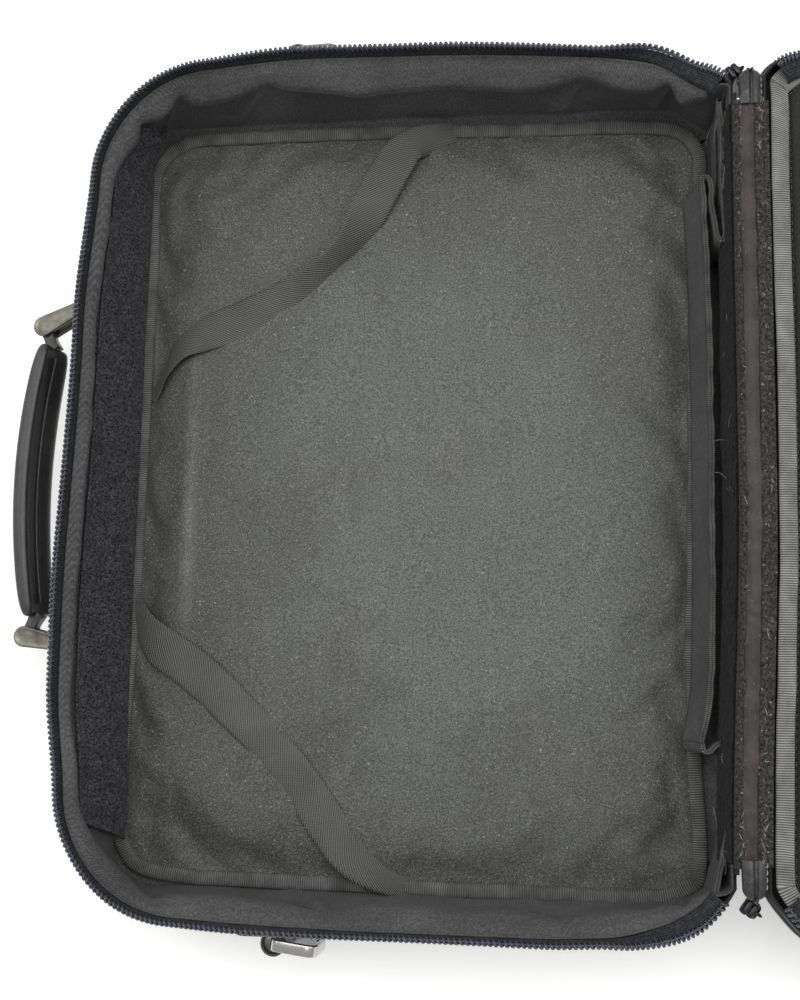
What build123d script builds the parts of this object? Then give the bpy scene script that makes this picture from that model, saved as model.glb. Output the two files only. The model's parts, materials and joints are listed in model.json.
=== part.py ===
"""Padded zip case with a carrying handle, lying open like a book.

Millimetres. The deep half lies flat on the ground, with +X towards the spine and lid, +Y towards
one short side and +Z up. The origin is on the ground, under the middle of the deep half's rim.
The lid is drawn closed and then turned about its two hinge lines into the open rest position.
"""
from build123d import *
from math import asin, atan2, cos, degrees, hypot, radians, sin, sqrt
import os

# Driving dimensions of the deep half
HALF_X = 156.0            # handle side to spine, halved
HALF_Y = 204.0            # short side to short side, halved
RIM_Z = 66.0              # tips of the zip teeth above the ground
RIM_CORNER_R = 64.0       # corners at the handle side, at the rim
BASE_CORNER_R = 24.0      # the same corners at the base
NOTCH_R = 48.0            # rim corners beside the spine
NOTCH_RUN = 42.0          # how far those corners reach along X before the spine cuts them off
LEAN = 9.0                # the walls lean in by this much from rim to base
HINGE_LEAN = 2.0          # the same at the spine side
EDGE_R = 8.0              # rounding where wall meets base

# Layers
SKIN = 1.4                # outer fabric
FOAM = 4.1                # padding of the walls
LINING = 1.0
BOARD = 1.2               # stiffener sheets
WALL = SKIN + FOAM + LINING
FLOOR_Z = 8.0             # top of the base padding
PAD = 3.2                 # floor panel
SHELL_TOP_Z = 57.0        # the outer fabric ends here, and the zip tape goes on
TAPE = 0.9
TAPE_BOTTOM_Z = 50.0
PIPING_T = 1.3
PIPING_H = 2.6
COIL_H = 3.5
COIL_T = 3.2

# Floor panel
PANEL_X = (-138.0, 146.0)
PANEL_Y = (-187.5, 184.0)
PANEL_CORNER_R = 20.0
BINDING_W = 6.5
BINDING_T = 4.0

# Spine and lid
SPINE_W = 11.5
SPINE_HALF_Y = 168.0
SPINE_WALL_HALF_Y = 172.0
HINGE_LINING_HALF_Y = 160.0
SPINE_T = 2.2
HINGE_GAP = 0.6
LID_T = 9.0               # padded panel, from lining to outer fabric
LID_EDGE_R = 4.0
CLOSED_GAP = 0.5          # between the two rows of teeth when closed
LID_BINDING_W = 8.0
LID_BINDING_IN = 2.6      # its outer edge, from the lid's outline

# Handle
HANDLE_Z = 36.0
LINK_L = 18.0
LINK_UP_WALL = (-158.5, 85.6)
LINK_UP_LEAN = 27.0       # degrees by which the link leans to the handle's middle
LINK_DOWN_WALL = (-158.5, -77.0)
LINK_DOWN_LEAN = 10.4
LINK_R = 5.0
LINK_NECK_R = 3.4
LINK_PLATE = 1.8
LINK_SPAN = 11.0          # over both plates
PIN_R = 1.5
GRIP_W = 23.0             # along Z
GRIP_T = 9.0
GRIP_BOW = 6.5
GRIP_SET_IN = 2.5         # ends of the grip, from the line of the outer pins towards the wall
GRIP_END = 10.0           # from the outer pin to the padded part

# Shoulder-strap rings
RING_X = -50.0
RING_OUT = 208.5          # loop centre, from the middle of the case along Y
RING_Z = 38.0
RING_LOOP_R = 6.0
RING_LOOP_T = 1.9
RING_LOOP_H = 19.0
RING_L = 21.5
RING_H = 27.0
RING_BAND = 5.4
RING_BAND_T = 2.2
RING_TILT = 7.5

# Pocket on the spine-side wall
POCKET_Y = (-118.0, 142.0)
POCKET_FOOT_X = 147.5
POCKET_HEM_X = 144.0
POCKET_TOP_Z = 43.0
POCKET_T = 1.2
HEM_H = 6.0

# Zip sliders and pulls
SLIDER_ANGLE = 55.0       # place on the notch corner, from the short side towards the spine
SLIDER_W = 7.0
SLIDER_DEEP = 5.0
SLIDER_GAP = 0.4
BAIL_OUT = 3.8            # bail centre, from the middle of the slider
BAIL_Z = 53.0
PULL_L = 22.0

# Elastic corner straps
STRAP_W = 20.0
STRAP_T = 1.2

OUT = "parts"
BIG = 1000.0


def wall_inset(z):
    """How far the outer face of a wall stands in from the rim outline at height z."""
    return LEAN * (1.0 - z / RIM_Z)


def hinge_inset(z):
    return HINGE_LEAN * (1.0 - z / RIM_Z)


def corner_radius(z):
    share = z / RIM_Z
    return BASE_CORNER_R + (RIM_CORNER_R - BASE_CORNER_R) * share


def outline(inset, corner_r, z, spine_inset=None):
    """Face of the case's plan outline, moved in by inset, at height z."""
    spine_inset = inset if spine_inset is None else spine_inset
    left = -HALF_X + inset
    right = HALF_X - spine_inset
    half = HALF_Y - inset
    radius = NOTCH_R - inset
    run = NOTCH_RUN * radius / NOTCH_R
    notch_x = right - run
    fall = radius - sqrt(radius ** 2 - run ** 2)
    middle = asin(run / radius) / 2.0
    mid_x = notch_x + radius * sin(middle)
    mid_y = half - radius * (1.0 - cos(middle))
    diag = corner_r * (1.0 - sqrt(0.5))
    with BuildSketch(Plane.XY.offset(z)) as sketch:
        with BuildLine():
            Line((left + corner_r, half), (notch_x, half))
            ThreePointArc((notch_x, half), (mid_x, mid_y), (right, half - fall))
            Line((right, half - fall), (right, fall - half))
            ThreePointArc((right, fall - half), (mid_x, -mid_y), (notch_x, -half))
            Line((notch_x, -half), (left + corner_r, -half))
            ThreePointArc((left + corner_r, -half), (left + diag, -half + diag), (left, corner_r - half))
            Line((left, corner_r - half), (left, half - corner_r))
            ThreePointArc((left, half - corner_r), (left + diag, half - diag), (left + corner_r, half))
        make_face()
    return sketch.sketch


def wall_section(z, depth, spine_depth=None):
    """Plan outline at height z, depth inside the outer face of the wall."""
    spine_depth = depth if spine_depth is None else spine_depth
    radius = max(corner_radius(z) - depth, 4.0)
    return outline(wall_inset(z) + depth, radius, z, hinge_inset(z) + spine_depth)


def block(depth, bottom, top, spine_depth=None):
    """Solid filling of the deep half between two heights, depth inside the outer face."""
    return loft([wall_section(bottom, depth, spine_depth), wall_section(top, depth, spine_depth)], ruled=True)


def slab(low, high):
    """Box between two corners."""
    size = [h - l for l, h in zip(low, high)]
    middle = [(h + l) / 2.0 for l, h in zip(low, high)]
    return Pos(*middle) * Box(*size)


def spine_side(reach):
    """Everything from reach inside the spine edge outwards."""
    return slab((HALF_X - reach, -BIG, -BIG), (BIG, BIG, BIG))


def rounded_plate(x_range, y_range, radius, bottom, top):
    """Flat plate with rounded corners."""
    width = x_range[1] - x_range[0]
    length = y_range[1] - y_range[0]
    face = RectangleRounded(width, length, radius)
    centre = (sum(x_range) / 2.0, sum(y_range) / 2.0, bottom)
    return Pos(*centre) * extrude(face, top - bottom)


def write(solids):
    os.makedirs(OUT, exist_ok=True)
    for name, shape in solids.items():
        shape.label = name
        export_step(shape, os.path.join(OUT, name + ".step"))


# ---- deep half -----------------------------------------------------------------------------

def shell_outer():
    """Outer fabric: base, four walls, and a higher wall at the spine side for the spine to join."""
    foot = loft([wall_section(0.0, EDGE_R), wall_section(EDGE_R, 0.0)], ruled=True)
    spine_top = RIM_Z - HINGE_GAP
    body = foot + block(0.0, EDGE_R, spine_top)
    inner_foot = loft([wall_section(SKIN, EDGE_R), wall_section(EDGE_R, SKIN)], ruled=True)
    body = body - inner_foot - block(SKIN, EDGE_R, spine_top + 1.0)
    kept_x = HALF_X - 4.0
    above = slab((-BIG, -BIG, SHELL_TOP_Z), (kept_x, BIG, BIG))
    upper_end = slab((-BIG, SPINE_WALL_HALF_Y, SHELL_TOP_Z), (BIG, BIG, BIG))
    lower_end = slab((-BIG, -BIG, SHELL_TOP_Z), (BIG, -SPINE_WALL_HALF_Y, BIG))
    return body - above - upper_end - lower_end


def base_piping():
    """Cord-filled trim where the base meets the walls."""
    z = EDGE_R
    return extrude(wall_section(z, -PIPING_T), PIPING_H) - block(0.0, EDGE_R, SHELL_TOP_Z)


def base_board():
    return extrude(wall_section(SKIN, EDGE_R + SKIN), BOARD)


def base_foam():
    bottom = SKIN + BOARD
    return loft([wall_section(bottom, EDGE_R), wall_section(FLOOR_Z, SKIN)], ruled=True)


def wall_foam():
    """Padding of the three zipped walls, closed in between outer fabric and lining."""
    return block(SKIN, FLOOR_Z, TAPE_BOTTOM_Z) - block(SKIN + FOAM, FLOOR_Z, TAPE_BOTTOM_Z, SKIN)


def all_wall_lining():
    """Lining of all four walls. The spine-side wall has no padding behind it."""
    outer = block(SKIN + FOAM, FLOOR_Z, SHELL_TOP_Z, SKIN)
    return outer - block(WALL, FLOOR_Z, SHELL_TOP_Z, SKIN + LINING)


def hinge_lining_space():
    return slab((HALF_X - 6.0, -HINGE_LINING_HALF_Y, 0.0), (BIG, HINGE_LINING_HALF_Y, BIG))


def wall_lining():
    """Lining of the zipped walls and of the corners beside the spine."""
    return all_wall_lining() - hinge_lining_space()


def hinge_wall_lining():
    """Flat panel of lining behind the pocket."""
    return all_wall_lining() & hinge_lining_space()


def floor_pad():
    inner_x = (PANEL_X[0] + BINDING_W, PANEL_X[1] - BINDING_W)
    inner_y = (PANEL_Y[0] + BINDING_W, PANEL_Y[1] - BINDING_W)
    radius = PANEL_CORNER_R - BINDING_W
    return rounded_plate(inner_x, inner_y, radius, FLOOR_Z, FLOOR_Z + PAD)


def floor_binding():
    outer = rounded_plate(PANEL_X, PANEL_Y, PANEL_CORNER_R, FLOOR_Z, FLOOR_Z + BINDING_T)
    inner_x = (PANEL_X[0] + BINDING_W, PANEL_X[1] - BINDING_W)
    inner_y = (PANEL_Y[0] + BINDING_W, PANEL_Y[1] - BINDING_W)
    radius = PANEL_CORNER_R - BINDING_W
    return outer - rounded_plate(inner_x, inner_y, radius, FLOOR_Z, FLOOR_Z + BINDING_T)


def handle_side_loop_strip():
    """Strip of loop fastener on the handle-side wall."""
    bottom = FLOOR_Z + 5.0
    top = SHELL_TOP_Z - 2.0
    layer = block(WALL, bottom, top) - block(WALL + 1.4, bottom, top)
    return layer & slab((-BIG, -158.0, 0.0), (-HALF_X + 60.0, 150.0, BIG)) & slab(
        (-BIG, -BIG, 0.0), (-HALF_X + 22.0, BIG, BIG))


def hinge_side_loop_strip():
    bottom = 39.0
    face_x = HALF_X - hinge_inset(bottom) - SKIN - LINING - 0.1
    return slab((face_x - 1.2, -150.0, bottom), (face_x, 158.0, 61.0))


def zip_band(bottom, top, depth, thickness):
    """Three-sided band that follows the rim and stops beside the spine."""
    outer = extrude(outline(depth, RIM_CORNER_R - depth, bottom), top - bottom)
    inner_depth = depth + thickness
    inner = extrude(outline(inner_depth, RIM_CORNER_R - inner_depth, bottom), top - bottom)
    return outer - inner - spine_side(4.5)


def base_zip_tape():
    return zip_band(SHELL_TOP_Z, RIM_Z - COIL_H, SKIN, TAPE)


def base_zip_coil():
    return zip_band(RIM_Z - COIL_H, RIM_Z, 0.3, COIL_T)


def corner_strap(centre_line):
    """Slack elastic strap lying over the floor panel, drawn as one flat ribbon."""
    bottom = FLOOR_Z + BINDING_T + 0.2
    with BuildSketch(Plane.XY.offset(bottom)) as sketch:
        with BuildLine() as line:
            Spline(*centre_line)
        trace(line.line, STRAP_W)
    return extrude(sketch.sketch, STRAP_T)


def at_zip_end(shape, side):
    """Moves what is drawn at the origin, facing +Y, onto the notch corner at one short side."""
    centre = (HALF_X - NOTCH_RUN, side * (HALF_Y - NOTCH_R), BAIL_Z)
    out = NOTCH_R + SLIDER_GAP + SLIDER_DEEP / 2.0
    turn = -SLIDER_ANGLE if side > 0 else SLIDER_ANGLE + 180.0
    return Pos(*centre) * Rot(0, 0, turn) * Pos(0, out, 0) * shape


def cross_rod(radius, length):
    """Cylinder along the bail's axis."""
    return Pos(0, BAIL_OUT, 0) * Rot(0, 90, 0) * Cylinder(radius, length)


def zip_slider(side):
    """Slider parked at the end of the zip, outside the wall, with a bail for its pull."""
    body = Box(SLIDER_W, SLIDER_DEEP, 10.0)
    body = fillet(body.edges().filter_by(Axis.Z), 1.2)
    return at_zip_end(body + cross_rod(2.6, 3.0) - cross_rod(1.3, 8.0), side)


def zip_pull(side):
    """Tongue that hangs from the slider's bail."""
    arm_w = 1.5
    shape = cross_rod(1.0, SLIDER_W)
    for s in (1, -1):
        shape += Pos(s * (SLIDER_W - arm_w) / 2.0, BAIL_OUT, -3.3) * Box(arm_w, 2.0, 7.4)
    tongue = Pos(0, BAIL_OUT, -4.5 - PULL_L / 2.0) * Box(SLIDER_W, 1.6, PULL_L)
    low_edges = tongue.edges().filter_by(Axis.Y).group_by(Axis.Z)[0]
    return at_zip_end(shape + fillet(low_edges, 2.4), side)


# ---- pocket --------------------------------------------------------------------------------

def pocket_sheet(bottom, top, thickness):
    """Upright sheet that leans from the pocket's foot line to its hem line."""
    foot_z = FLOOR_Z + BINDING_T + 1.0
    slope = (POCKET_HEM_X - POCKET_FOOT_X) / (POCKET_TOP_Z - foot_z)
    low_x = POCKET_FOOT_X + slope * (bottom - foot_z)
    high_x = POCKET_FOOT_X + slope * (top - foot_z)
    points = [(low_x, bottom), (high_x, top), (high_x - thickness, top), (low_x - thickness, bottom)]
    face = make_face(Polyline([(x, 0.0, z) for x, z in points], close=True))
    return Pos(0, POCKET_Y[0], 0) * extrude(face, POCKET_Y[1] - POCKET_Y[0], dir=(0, 1, 0))


def pocket_panel():
    return pocket_sheet(FLOOR_Z + BINDING_T + 1.0, POCKET_TOP_Z - HEM_H, POCKET_T)


def pocket_hem():
    return pocket_sheet(POCKET_TOP_Z - HEM_H + 0.05, POCKET_TOP_Z, POCKET_T + 0.6)


def pocket_gusset(side):
    """Folded end of the pocket, between its front panel and the wall."""
    near = POCKET_Y[1] + 1.0 if side > 0 else POCKET_Y[0] - 1.0
    far = near + side * 9.0
    low = min(near, far)
    return slab((POCKET_FOOT_X - 3.0, low, FLOOR_Z + BINDING_T + 1.0), (152.0, low + 9.0, POCKET_TOP_Z - 5.0))


# ---- spine and lid, drawn closed -------------------------------------------------------------

AXIS_A = (HALF_X, RIM_Z)                  # case to spine
AXIS_B = (HALF_X, RIM_Z + SPINE_W)        # spine to lid, closed
LID_LENGTH = 2.0 * HALF_X
SPINE_TURN = 90.0
REACH = LID_LENGTH - LID_EDGE_R
# The open lid slopes down until its far edge meets the ground:
# REACH * sin(slope) + LID_T * cos(slope) = RIM_Z
LID_SLOPE = degrees(asin(RIM_Z / hypot(REACH, LID_T)) - atan2(LID_T, REACH))
LID_TURN = 90.0 + LID_SLOPE


def open_spine(shape):
    """Closed position to open position, for what is on the spine."""
    return turned(shape, AXIS_A, SPINE_TURN)


def open_lid(shape):
    """Closed position to open position, for what is on the lid."""
    return open_spine(turned(shape, AXIS_B, LID_TURN))


def turned(shape, axis, angle):
    """Shape turned about the line parallel to Y through (x, z)."""
    x, z = axis
    return Pos(x, 0, z) * Rot(0, angle, 0) * Pos(-x, 0, -z) * shape


def spine_strip():
    low = RIM_Z + HINGE_GAP
    high = RIM_Z + SPINE_W - 3.4
    return slab((HALF_X - SPINE_T, -SPINE_HALF_Y, low), (HALF_X, SPINE_HALF_Y, high))


def spine_seam():
    low = RIM_Z + SPINE_W - 3.3
    high = RIM_Z + SPINE_W - HINGE_GAP
    return slab((HALF_X - SPINE_T - 0.5, -SPINE_HALF_Y, low), (HALF_X, SPINE_HALF_Y, high))


def zip_end_tab(side):
    """Rounded leather tab over the end of the zip."""
    start = SPINE_HALF_Y + 0.3
    centre_z = RIM_Z + SPINE_W / 2.0
    with BuildSketch(Plane.YZ.offset(HALF_X - 1.8)) as sketch:
        with Locations((side * (start + 8.5), centre_z)):
            SlotOverall(17.0, 10.0)
        with Locations((side * (start + 3.0), centre_z)):
            Rectangle(6.0, 10.0)
    return extrude(sketch.sketch, 1.8)


LID_INNER_Z = RIM_Z + SPINE_W
LID_TOP_Z = LID_INNER_Z + LID_T
LID_RIM_Z = RIM_Z + CLOSED_GAP
LID_WALL_Z = LID_RIM_Z + COIL_H + 4.0     # the lid's outer fabric starts here, past its zip tape


def lid_plate(depth, bottom, top):
    """Slice of the lid between two closed heights, kept clear of its hinge line."""
    face = outline(depth, RIM_CORNER_R - depth, bottom, depth + HINGE_GAP)
    return extrude(face, top - bottom)


def lid_shell():
    """Outer fabric of the lid: a sheet with a low wall on three sides."""
    straight_top = LID_TOP_Z - LID_EDGE_R
    outer = lid_plate(0.0, LID_WALL_Z, straight_top)
    cap = loft([outline(0.0, RIM_CORNER_R, straight_top, HINGE_GAP),
                outline(LID_EDGE_R, RIM_CORNER_R - LID_EDGE_R, LID_TOP_Z, LID_EDGE_R + HINGE_GAP)], ruled=True)
    inner = lid_plate(SKIN, LID_WALL_Z, LID_TOP_Z - SKIN - LID_EDGE_R)
    inner_cap = lid_plate(LID_EDGE_R + SKIN, LID_TOP_Z - SKIN - LID_EDGE_R, LID_TOP_Z - SKIN)
    below = slab((HALF_X - 5.5, -BIG, 0.0), (BIG, BIG, LID_INNER_Z))
    return outer + cap - inner - inner_cap - below


def lid_board():
    return lid_plate(LID_EDGE_R + SKIN + 0.2, LID_TOP_Z - SKIN - BOARD, LID_TOP_Z - SKIN)


def lid_foam():
    return lid_plate(SKIN + 0.2, LID_INNER_Z + LINING, LID_TOP_Z - SKIN - LID_EDGE_R)


def lid_lining():
    inner = LID_BINDING_IN + LID_BINDING_W
    return lid_plate(inner, LID_INNER_Z - 0.6, LID_INNER_Z + LINING)


def lid_binding():
    """Woven tape round the edge of the lid's lining panel."""
    outer = lid_plate(LID_BINDING_IN, LID_INNER_Z - 1.0, LID_INNER_Z + LINING)
    return outer - lid_plate(LID_BINDING_IN + LID_BINDING_W, LID_INNER_Z - 1.0, LID_INNER_Z + LINING)


def lid_zip_tape():
    return zip_band(LID_RIM_Z + COIL_H, LID_WALL_Z, SKIN, TAPE)


def lid_zip_coil():
    return zip_band(LID_RIM_Z, LID_RIM_Z + COIL_H, 0.3, COIL_T)


# ---- handle --------------------------------------------------------------------------------

def link_end(wall, lean, side):
    """Outer pin of a handle link, from its wall pin."""
    angle = radians(lean)
    return (wall[0] - LINK_L * cos(angle), wall[1] - side * LINK_L * sin(angle))


UP_END = link_end(LINK_UP_WALL, LINK_UP_LEAN, 1)
DOWN_END = link_end(LINK_DOWN_WALL, LINK_DOWN_LEAN, -1)


def upright_pin(point, radius, height):
    return Pos(point[0], point[1], HANDLE_Z) * Cylinder(radius, height)


def handle_link(wall, end):
    """Pair of teardrop plates, tied by the pin at their outer end."""
    length = hypot(end[0] - wall[0], end[1] - wall[1])
    heading = degrees(atan2(end[1] - wall[1], end[0] - wall[0]))
    shift = (LINK_R - LINK_NECK_R) / length
    rise = sqrt(1.0 - shift ** 2)
    with BuildSketch() as plate:
        Circle(LINK_NECK_R)
        with Locations((length, 0)):
            Circle(LINK_R)
        corners = []
        for s in (1, -1):
            near = (-shift * LINK_NECK_R, s * rise * LINK_NECK_R)
            far = (length - shift * LINK_R, s * rise * LINK_R)
            corners += [near, far] if s > 0 else [far, near]
        Polygon(*corners, align=None)
        Circle(PIN_R + 0.3, mode=Mode.SUBTRACT)
    top = Pos(0, 0, LINK_SPAN / 2.0 - LINK_PLATE) * extrude(plate.sketch, LINK_PLATE)
    low = Pos(0, 0, -LINK_SPAN / 2.0) * extrude(plate.sketch, LINK_PLATE)
    placed = Pos(wall[0], wall[1], HANDLE_Z) * Rot(0, 0, heading) * (top + low)
    return placed + upright_pin(end, PIN_R, LINK_SPAN - 1.0)


def handle_bracket(wall):
    """Wall plate with a lug and the fixed pin of one handle link."""
    gap = LINK_SPAN - 2.0 * LINK_PLATE
    inset = LEAN * (1.0 - HANDLE_Z / RIM_Z)
    face_x = -HALF_X + inset
    plate = slab((face_x - 1.9, wall[1] - 11.0, HANDLE_Z - 12.0), (face_x - 0.1, wall[1] + 11.0, HANDLE_Z + 12.0))
    plate = plate - block(0.0, EDGE_R, SHELL_TOP_Z)
    lug_h = gap - 0.8
    lug = slab((wall[0], wall[1] - 3.0, HANDLE_Z - lug_h / 2.0), (face_x - 0.5, wall[1] + 3.0, HANDLE_Z + lug_h / 2.0))
    knuckle = upright_pin(wall, 3.0, lug_h)
    return plate + lug + knuckle + upright_pin(wall, PIN_R, LINK_SPAN + 0.8)


def grip_arc():
    """Centre line of the padded grip, bowed away from the case."""
    run = (DOWN_END[0] - UP_END[0], DOWN_END[1] - UP_END[1])
    length = hypot(*run)
    share = GRIP_END / length
    start = (UP_END[0] + run[0] * share + GRIP_SET_IN, UP_END[1] + run[1] * share, HANDLE_Z)
    stop = (DOWN_END[0] - run[0] * share + GRIP_SET_IN, DOWN_END[1] - run[1] * share, HANDLE_Z)
    middle = ((start[0] + stop[0]) / 2.0 - GRIP_BOW, (start[1] + stop[1]) / 2.0, HANDLE_Z)
    return ThreePointArc(start, middle, stop)


def handle_grip():
    """Padded leather grip, one rounded bar along the arc."""
    arc = grip_arc()
    section = Plane(origin=arc @ 0, z_dir=arc % 0, x_dir=(0, 0, 1))
    profile = section * RectangleRounded(GRIP_W, GRIP_T, GRIP_T / 2.0 - 0.3)
    return sweep(profile, path=arc)


def handle_neck(end, side):
    """Folded leather strap that ties the grip to one outer pin."""
    arc = grip_arc()
    tip = arc @ 0 if side > 0 else arc @ 1
    gap = LINK_SPAN - 2.0 * LINK_PLATE
    height = gap - 0.8
    length = hypot(tip.X - end[0], tip.Y - end[1]) - 1.8
    heading = degrees(atan2(tip.Y - end[1], tip.X - end[0]))
    strap = Pos(end[0], end[1], HANDLE_Z) * Rot(0, 0, heading) * Pos(length / 2.0, 0, 0) * Box(length, 6.0, height)
    eye = upright_pin(end, 3.6, height)
    bore = PIN_R + (0.25 if side > 0 else 1.3)
    return strap + eye - upright_pin(end, bore, height + 1.0)


# ---- shoulder-strap rings --------------------------------------------------------------------

def ring_chape(side):
    """Leather patch on the wall with a rolled loop that holds the ring."""
    y = side * RING_OUT
    wall_y = side * (HALF_Y - wall_inset(RING_Z))
    tube = Pos(RING_X, y, RING_Z) * Cylinder(RING_LOOP_R, RING_LOOP_H)
    bore = Pos(RING_X, y, RING_Z) * Cylinder(RING_LOOP_R - RING_LOOP_T, RING_LOOP_H + 2.0)
    low = min(y - side * RING_LOOP_R + side * 1.0, wall_y)
    high = max(y - side * RING_LOOP_R + side * 1.0, wall_y)
    tongue = slab((RING_X - 5.0, low, RING_Z - RING_LOOP_H / 2.0), (RING_X + 1.0, high, RING_Z + RING_LOOP_H / 2.0))
    patch_low = min(wall_y, wall_y + side * 2.4)
    patch = slab((RING_X - 16.0, patch_low - 0.6, RING_Z - 17.0), (RING_X + 12.0, patch_low + 3.0, RING_Z + 17.0))
    return (tube + tongue + patch) - bore - block(-0.1, EDGE_R, SHELL_TOP_Z)


def strap_ring(side):
    """Flat-banded metal ring. One upright runs through the leather loop."""
    outer = RectangleRounded(RING_L, RING_H, 4.0)
    inner = RectangleRounded(RING_L - 2.0 * RING_BAND_T, RING_H - 2.0 * RING_BAND_T, 2.4)
    ring = extrude(outer - inner, RING_BAND / 2.0, both=True)
    upright = Rot(90, 0, 0) * ring
    offset = RING_L / 2.0 - RING_BAND_T / 2.0
    return Pos(RING_X, side * RING_OUT, RING_Z) * Rot(0, 0, side * RING_TILT) * Pos(offset, 0, 0) * upright


UPPER_STRAP = [(19.0, 178.0), (-8.0, 164.0), (-30.0, 128.0), (-66.0, 92.0), (-122.0, 62.0)]
LOWER_STRAP = [(-128.0, -62.0), (-98.0, -84.0), (-68.0, -110.0), (-44.0, -146.0), (-16.0, -180.0)]


def build():
    return {
        "shell_outer": shell_outer(),
        "base_piping": base_piping(),
        "base_board": base_board(),
        "base_foam": base_foam(),
        "wall_foam": wall_foam(),
        "wall_lining": wall_lining(),
        "hinge_wall_lining": hinge_wall_lining(),
        "floor_pad": floor_pad(),
        "floor_binding": floor_binding(),
        "handle_side_loop_strip": handle_side_loop_strip(),
        "hinge_side_loop_strip": hinge_side_loop_strip(),
        "corner_strap_upper": corner_strap(UPPER_STRAP),
        "corner_strap_lower": corner_strap(LOWER_STRAP),
        "base_zip_tape": base_zip_tape(),
        "base_zip_coil": base_zip_coil(),
        "zip_slider_upper": zip_slider(1),
        "zip_slider_lower": zip_slider(-1),
        "zip_pull_upper": zip_pull(1),
        "zip_pull_lower": zip_pull(-1),
        "pocket_panel": pocket_panel(),
        "pocket_hem": pocket_hem(),
        "pocket_gusset_upper": pocket_gusset(1),
        "pocket_gusset_lower": pocket_gusset(-1),
        "spine_strip": open_spine(spine_strip()),
        "spine_seam": open_spine(spine_seam()),
        "zip_end_tab_upper": open_spine(zip_end_tab(1)),
        "zip_end_tab_lower": open_spine(zip_end_tab(-1)),
        "lid_shell": open_lid(lid_shell()),
        "lid_board": open_lid(lid_board()),
        "lid_foam": open_lid(lid_foam()),
        "lid_lining": open_lid(lid_lining()),
        "lid_binding": open_lid(lid_binding()),
        "lid_zip_tape": open_lid(lid_zip_tape()),
        "lid_zip_coil": open_lid(lid_zip_coil()),
        "handle_grip": handle_grip(),
        "handle_neck_upper": handle_neck(UP_END, 1),
        "handle_neck_lower": handle_neck(DOWN_END, -1),
        "handle_link_upper": handle_link(LINK_UP_WALL, UP_END),
        "handle_link_lower": handle_link(LINK_DOWN_WALL, DOWN_END),
        "handle_bracket_upper": handle_bracket(LINK_UP_WALL),
        "handle_bracket_lower": handle_bracket(LINK_DOWN_WALL),
        "ring_chape_upper": ring_chape(1),
        "ring_chape_lower": ring_chape(-1),
        "strap_ring_upper": strap_ring(1),
        "strap_ring_lower": strap_ring(-1),
    }


write(build())
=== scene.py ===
"""Padded zip case, lying open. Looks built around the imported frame, in metres.

The case is drawn closed, as the frame's design is: lid pieces are then turned about the two hinge
lines into the open rest position. Heights and depths below are millimetres, turned to metres by MM.
"""
import json
import math

import bpy
import numpy as np
from mathutils import Matrix, Vector, noise


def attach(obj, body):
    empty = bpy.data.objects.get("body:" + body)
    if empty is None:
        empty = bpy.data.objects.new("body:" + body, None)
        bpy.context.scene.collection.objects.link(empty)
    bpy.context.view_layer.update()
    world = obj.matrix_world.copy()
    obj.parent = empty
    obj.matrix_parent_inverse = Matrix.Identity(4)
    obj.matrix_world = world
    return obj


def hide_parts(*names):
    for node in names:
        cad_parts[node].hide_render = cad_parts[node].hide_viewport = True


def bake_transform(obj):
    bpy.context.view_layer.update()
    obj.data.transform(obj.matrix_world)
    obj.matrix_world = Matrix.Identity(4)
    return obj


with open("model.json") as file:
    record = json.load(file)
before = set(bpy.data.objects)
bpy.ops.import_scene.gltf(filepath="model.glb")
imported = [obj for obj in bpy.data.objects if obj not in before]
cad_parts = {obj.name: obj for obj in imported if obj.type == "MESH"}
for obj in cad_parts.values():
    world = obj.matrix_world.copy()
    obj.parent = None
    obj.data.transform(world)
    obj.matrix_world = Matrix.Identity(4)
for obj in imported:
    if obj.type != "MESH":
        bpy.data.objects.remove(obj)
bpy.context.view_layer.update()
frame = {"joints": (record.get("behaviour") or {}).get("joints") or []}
MM = 0.001

# ---- sizes, in millimetres, as the frame has them ------------------------------------------------
HALF_X = 156.0
HALF_Y = 204.0
RIM_Z = 66.0
RIM_R = 64.0
BASE_R = 24.0
NOTCH_R = 48.0
NOTCH_RUN = 42.0
LEAN = 9.0
HINGE_LEAN = 2.0
EDGE_R = 8.0
SHELL_TOP = 57.0
SPINE_W = 11.5
LID_T = 9.0
COIL_PITCH = 2.4
HANDLE_Z = 36.0
HINGE_A = (HALF_X, RIM_Z)
HINGE_B = (HALF_X, RIM_Z + SPINE_W)


def joint(name):
    return next(j for j in frame["joints"] if j["name"] == name)


SPINE_TURN = math.radians(90.0)
LID_TURN = math.radians(joint("lid_fold")["range_deg"][1])


# ---- small maths ---------------------------------------------------------------------------------

def smooth(low, high, x):
    """Smooth step from 0 at low to 1 at high."""
    t = np.clip((np.asarray(x, float) - low) / (high - low), 0.0, 1.0)
    return t * t * (3.0 - 2.0 * t)


def bump(x, centre, width):
    """Bell of height 1."""
    return np.exp(-((np.asarray(x, float) - centre) / width) ** 2)


def wander(x, scale, seed, octaves=2):
    """Smooth repeatable noise along a line, about -1 to 1."""
    x = np.asarray(x, float)
    line = [Vector((v / scale, seed * 7.3, seed * 1.7)) for v in x.ravel()]
    flat = [noise.fractal(at, 1.0, 2.0, octaves) for at in line]
    return np.array(flat).reshape(x.shape)


def field(points, scale, seed, octaves=3):
    """Smooth repeatable noise at points, about -1 to 1."""
    shift = Vector((seed * 3.1, seed * 5.7, seed * 2.3))
    flat = points.reshape(-1, 3)
    values = [noise.fractal(Vector(p) / scale + shift, 1.0, 2.0, octaves) for p in flat]
    return np.array(values).reshape(points.shape[:-1])


def unit(v):
    v = np.asarray(v, float)
    return v / np.maximum(np.linalg.norm(v, axis=-1, keepdims=True), 1e-12)


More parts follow.
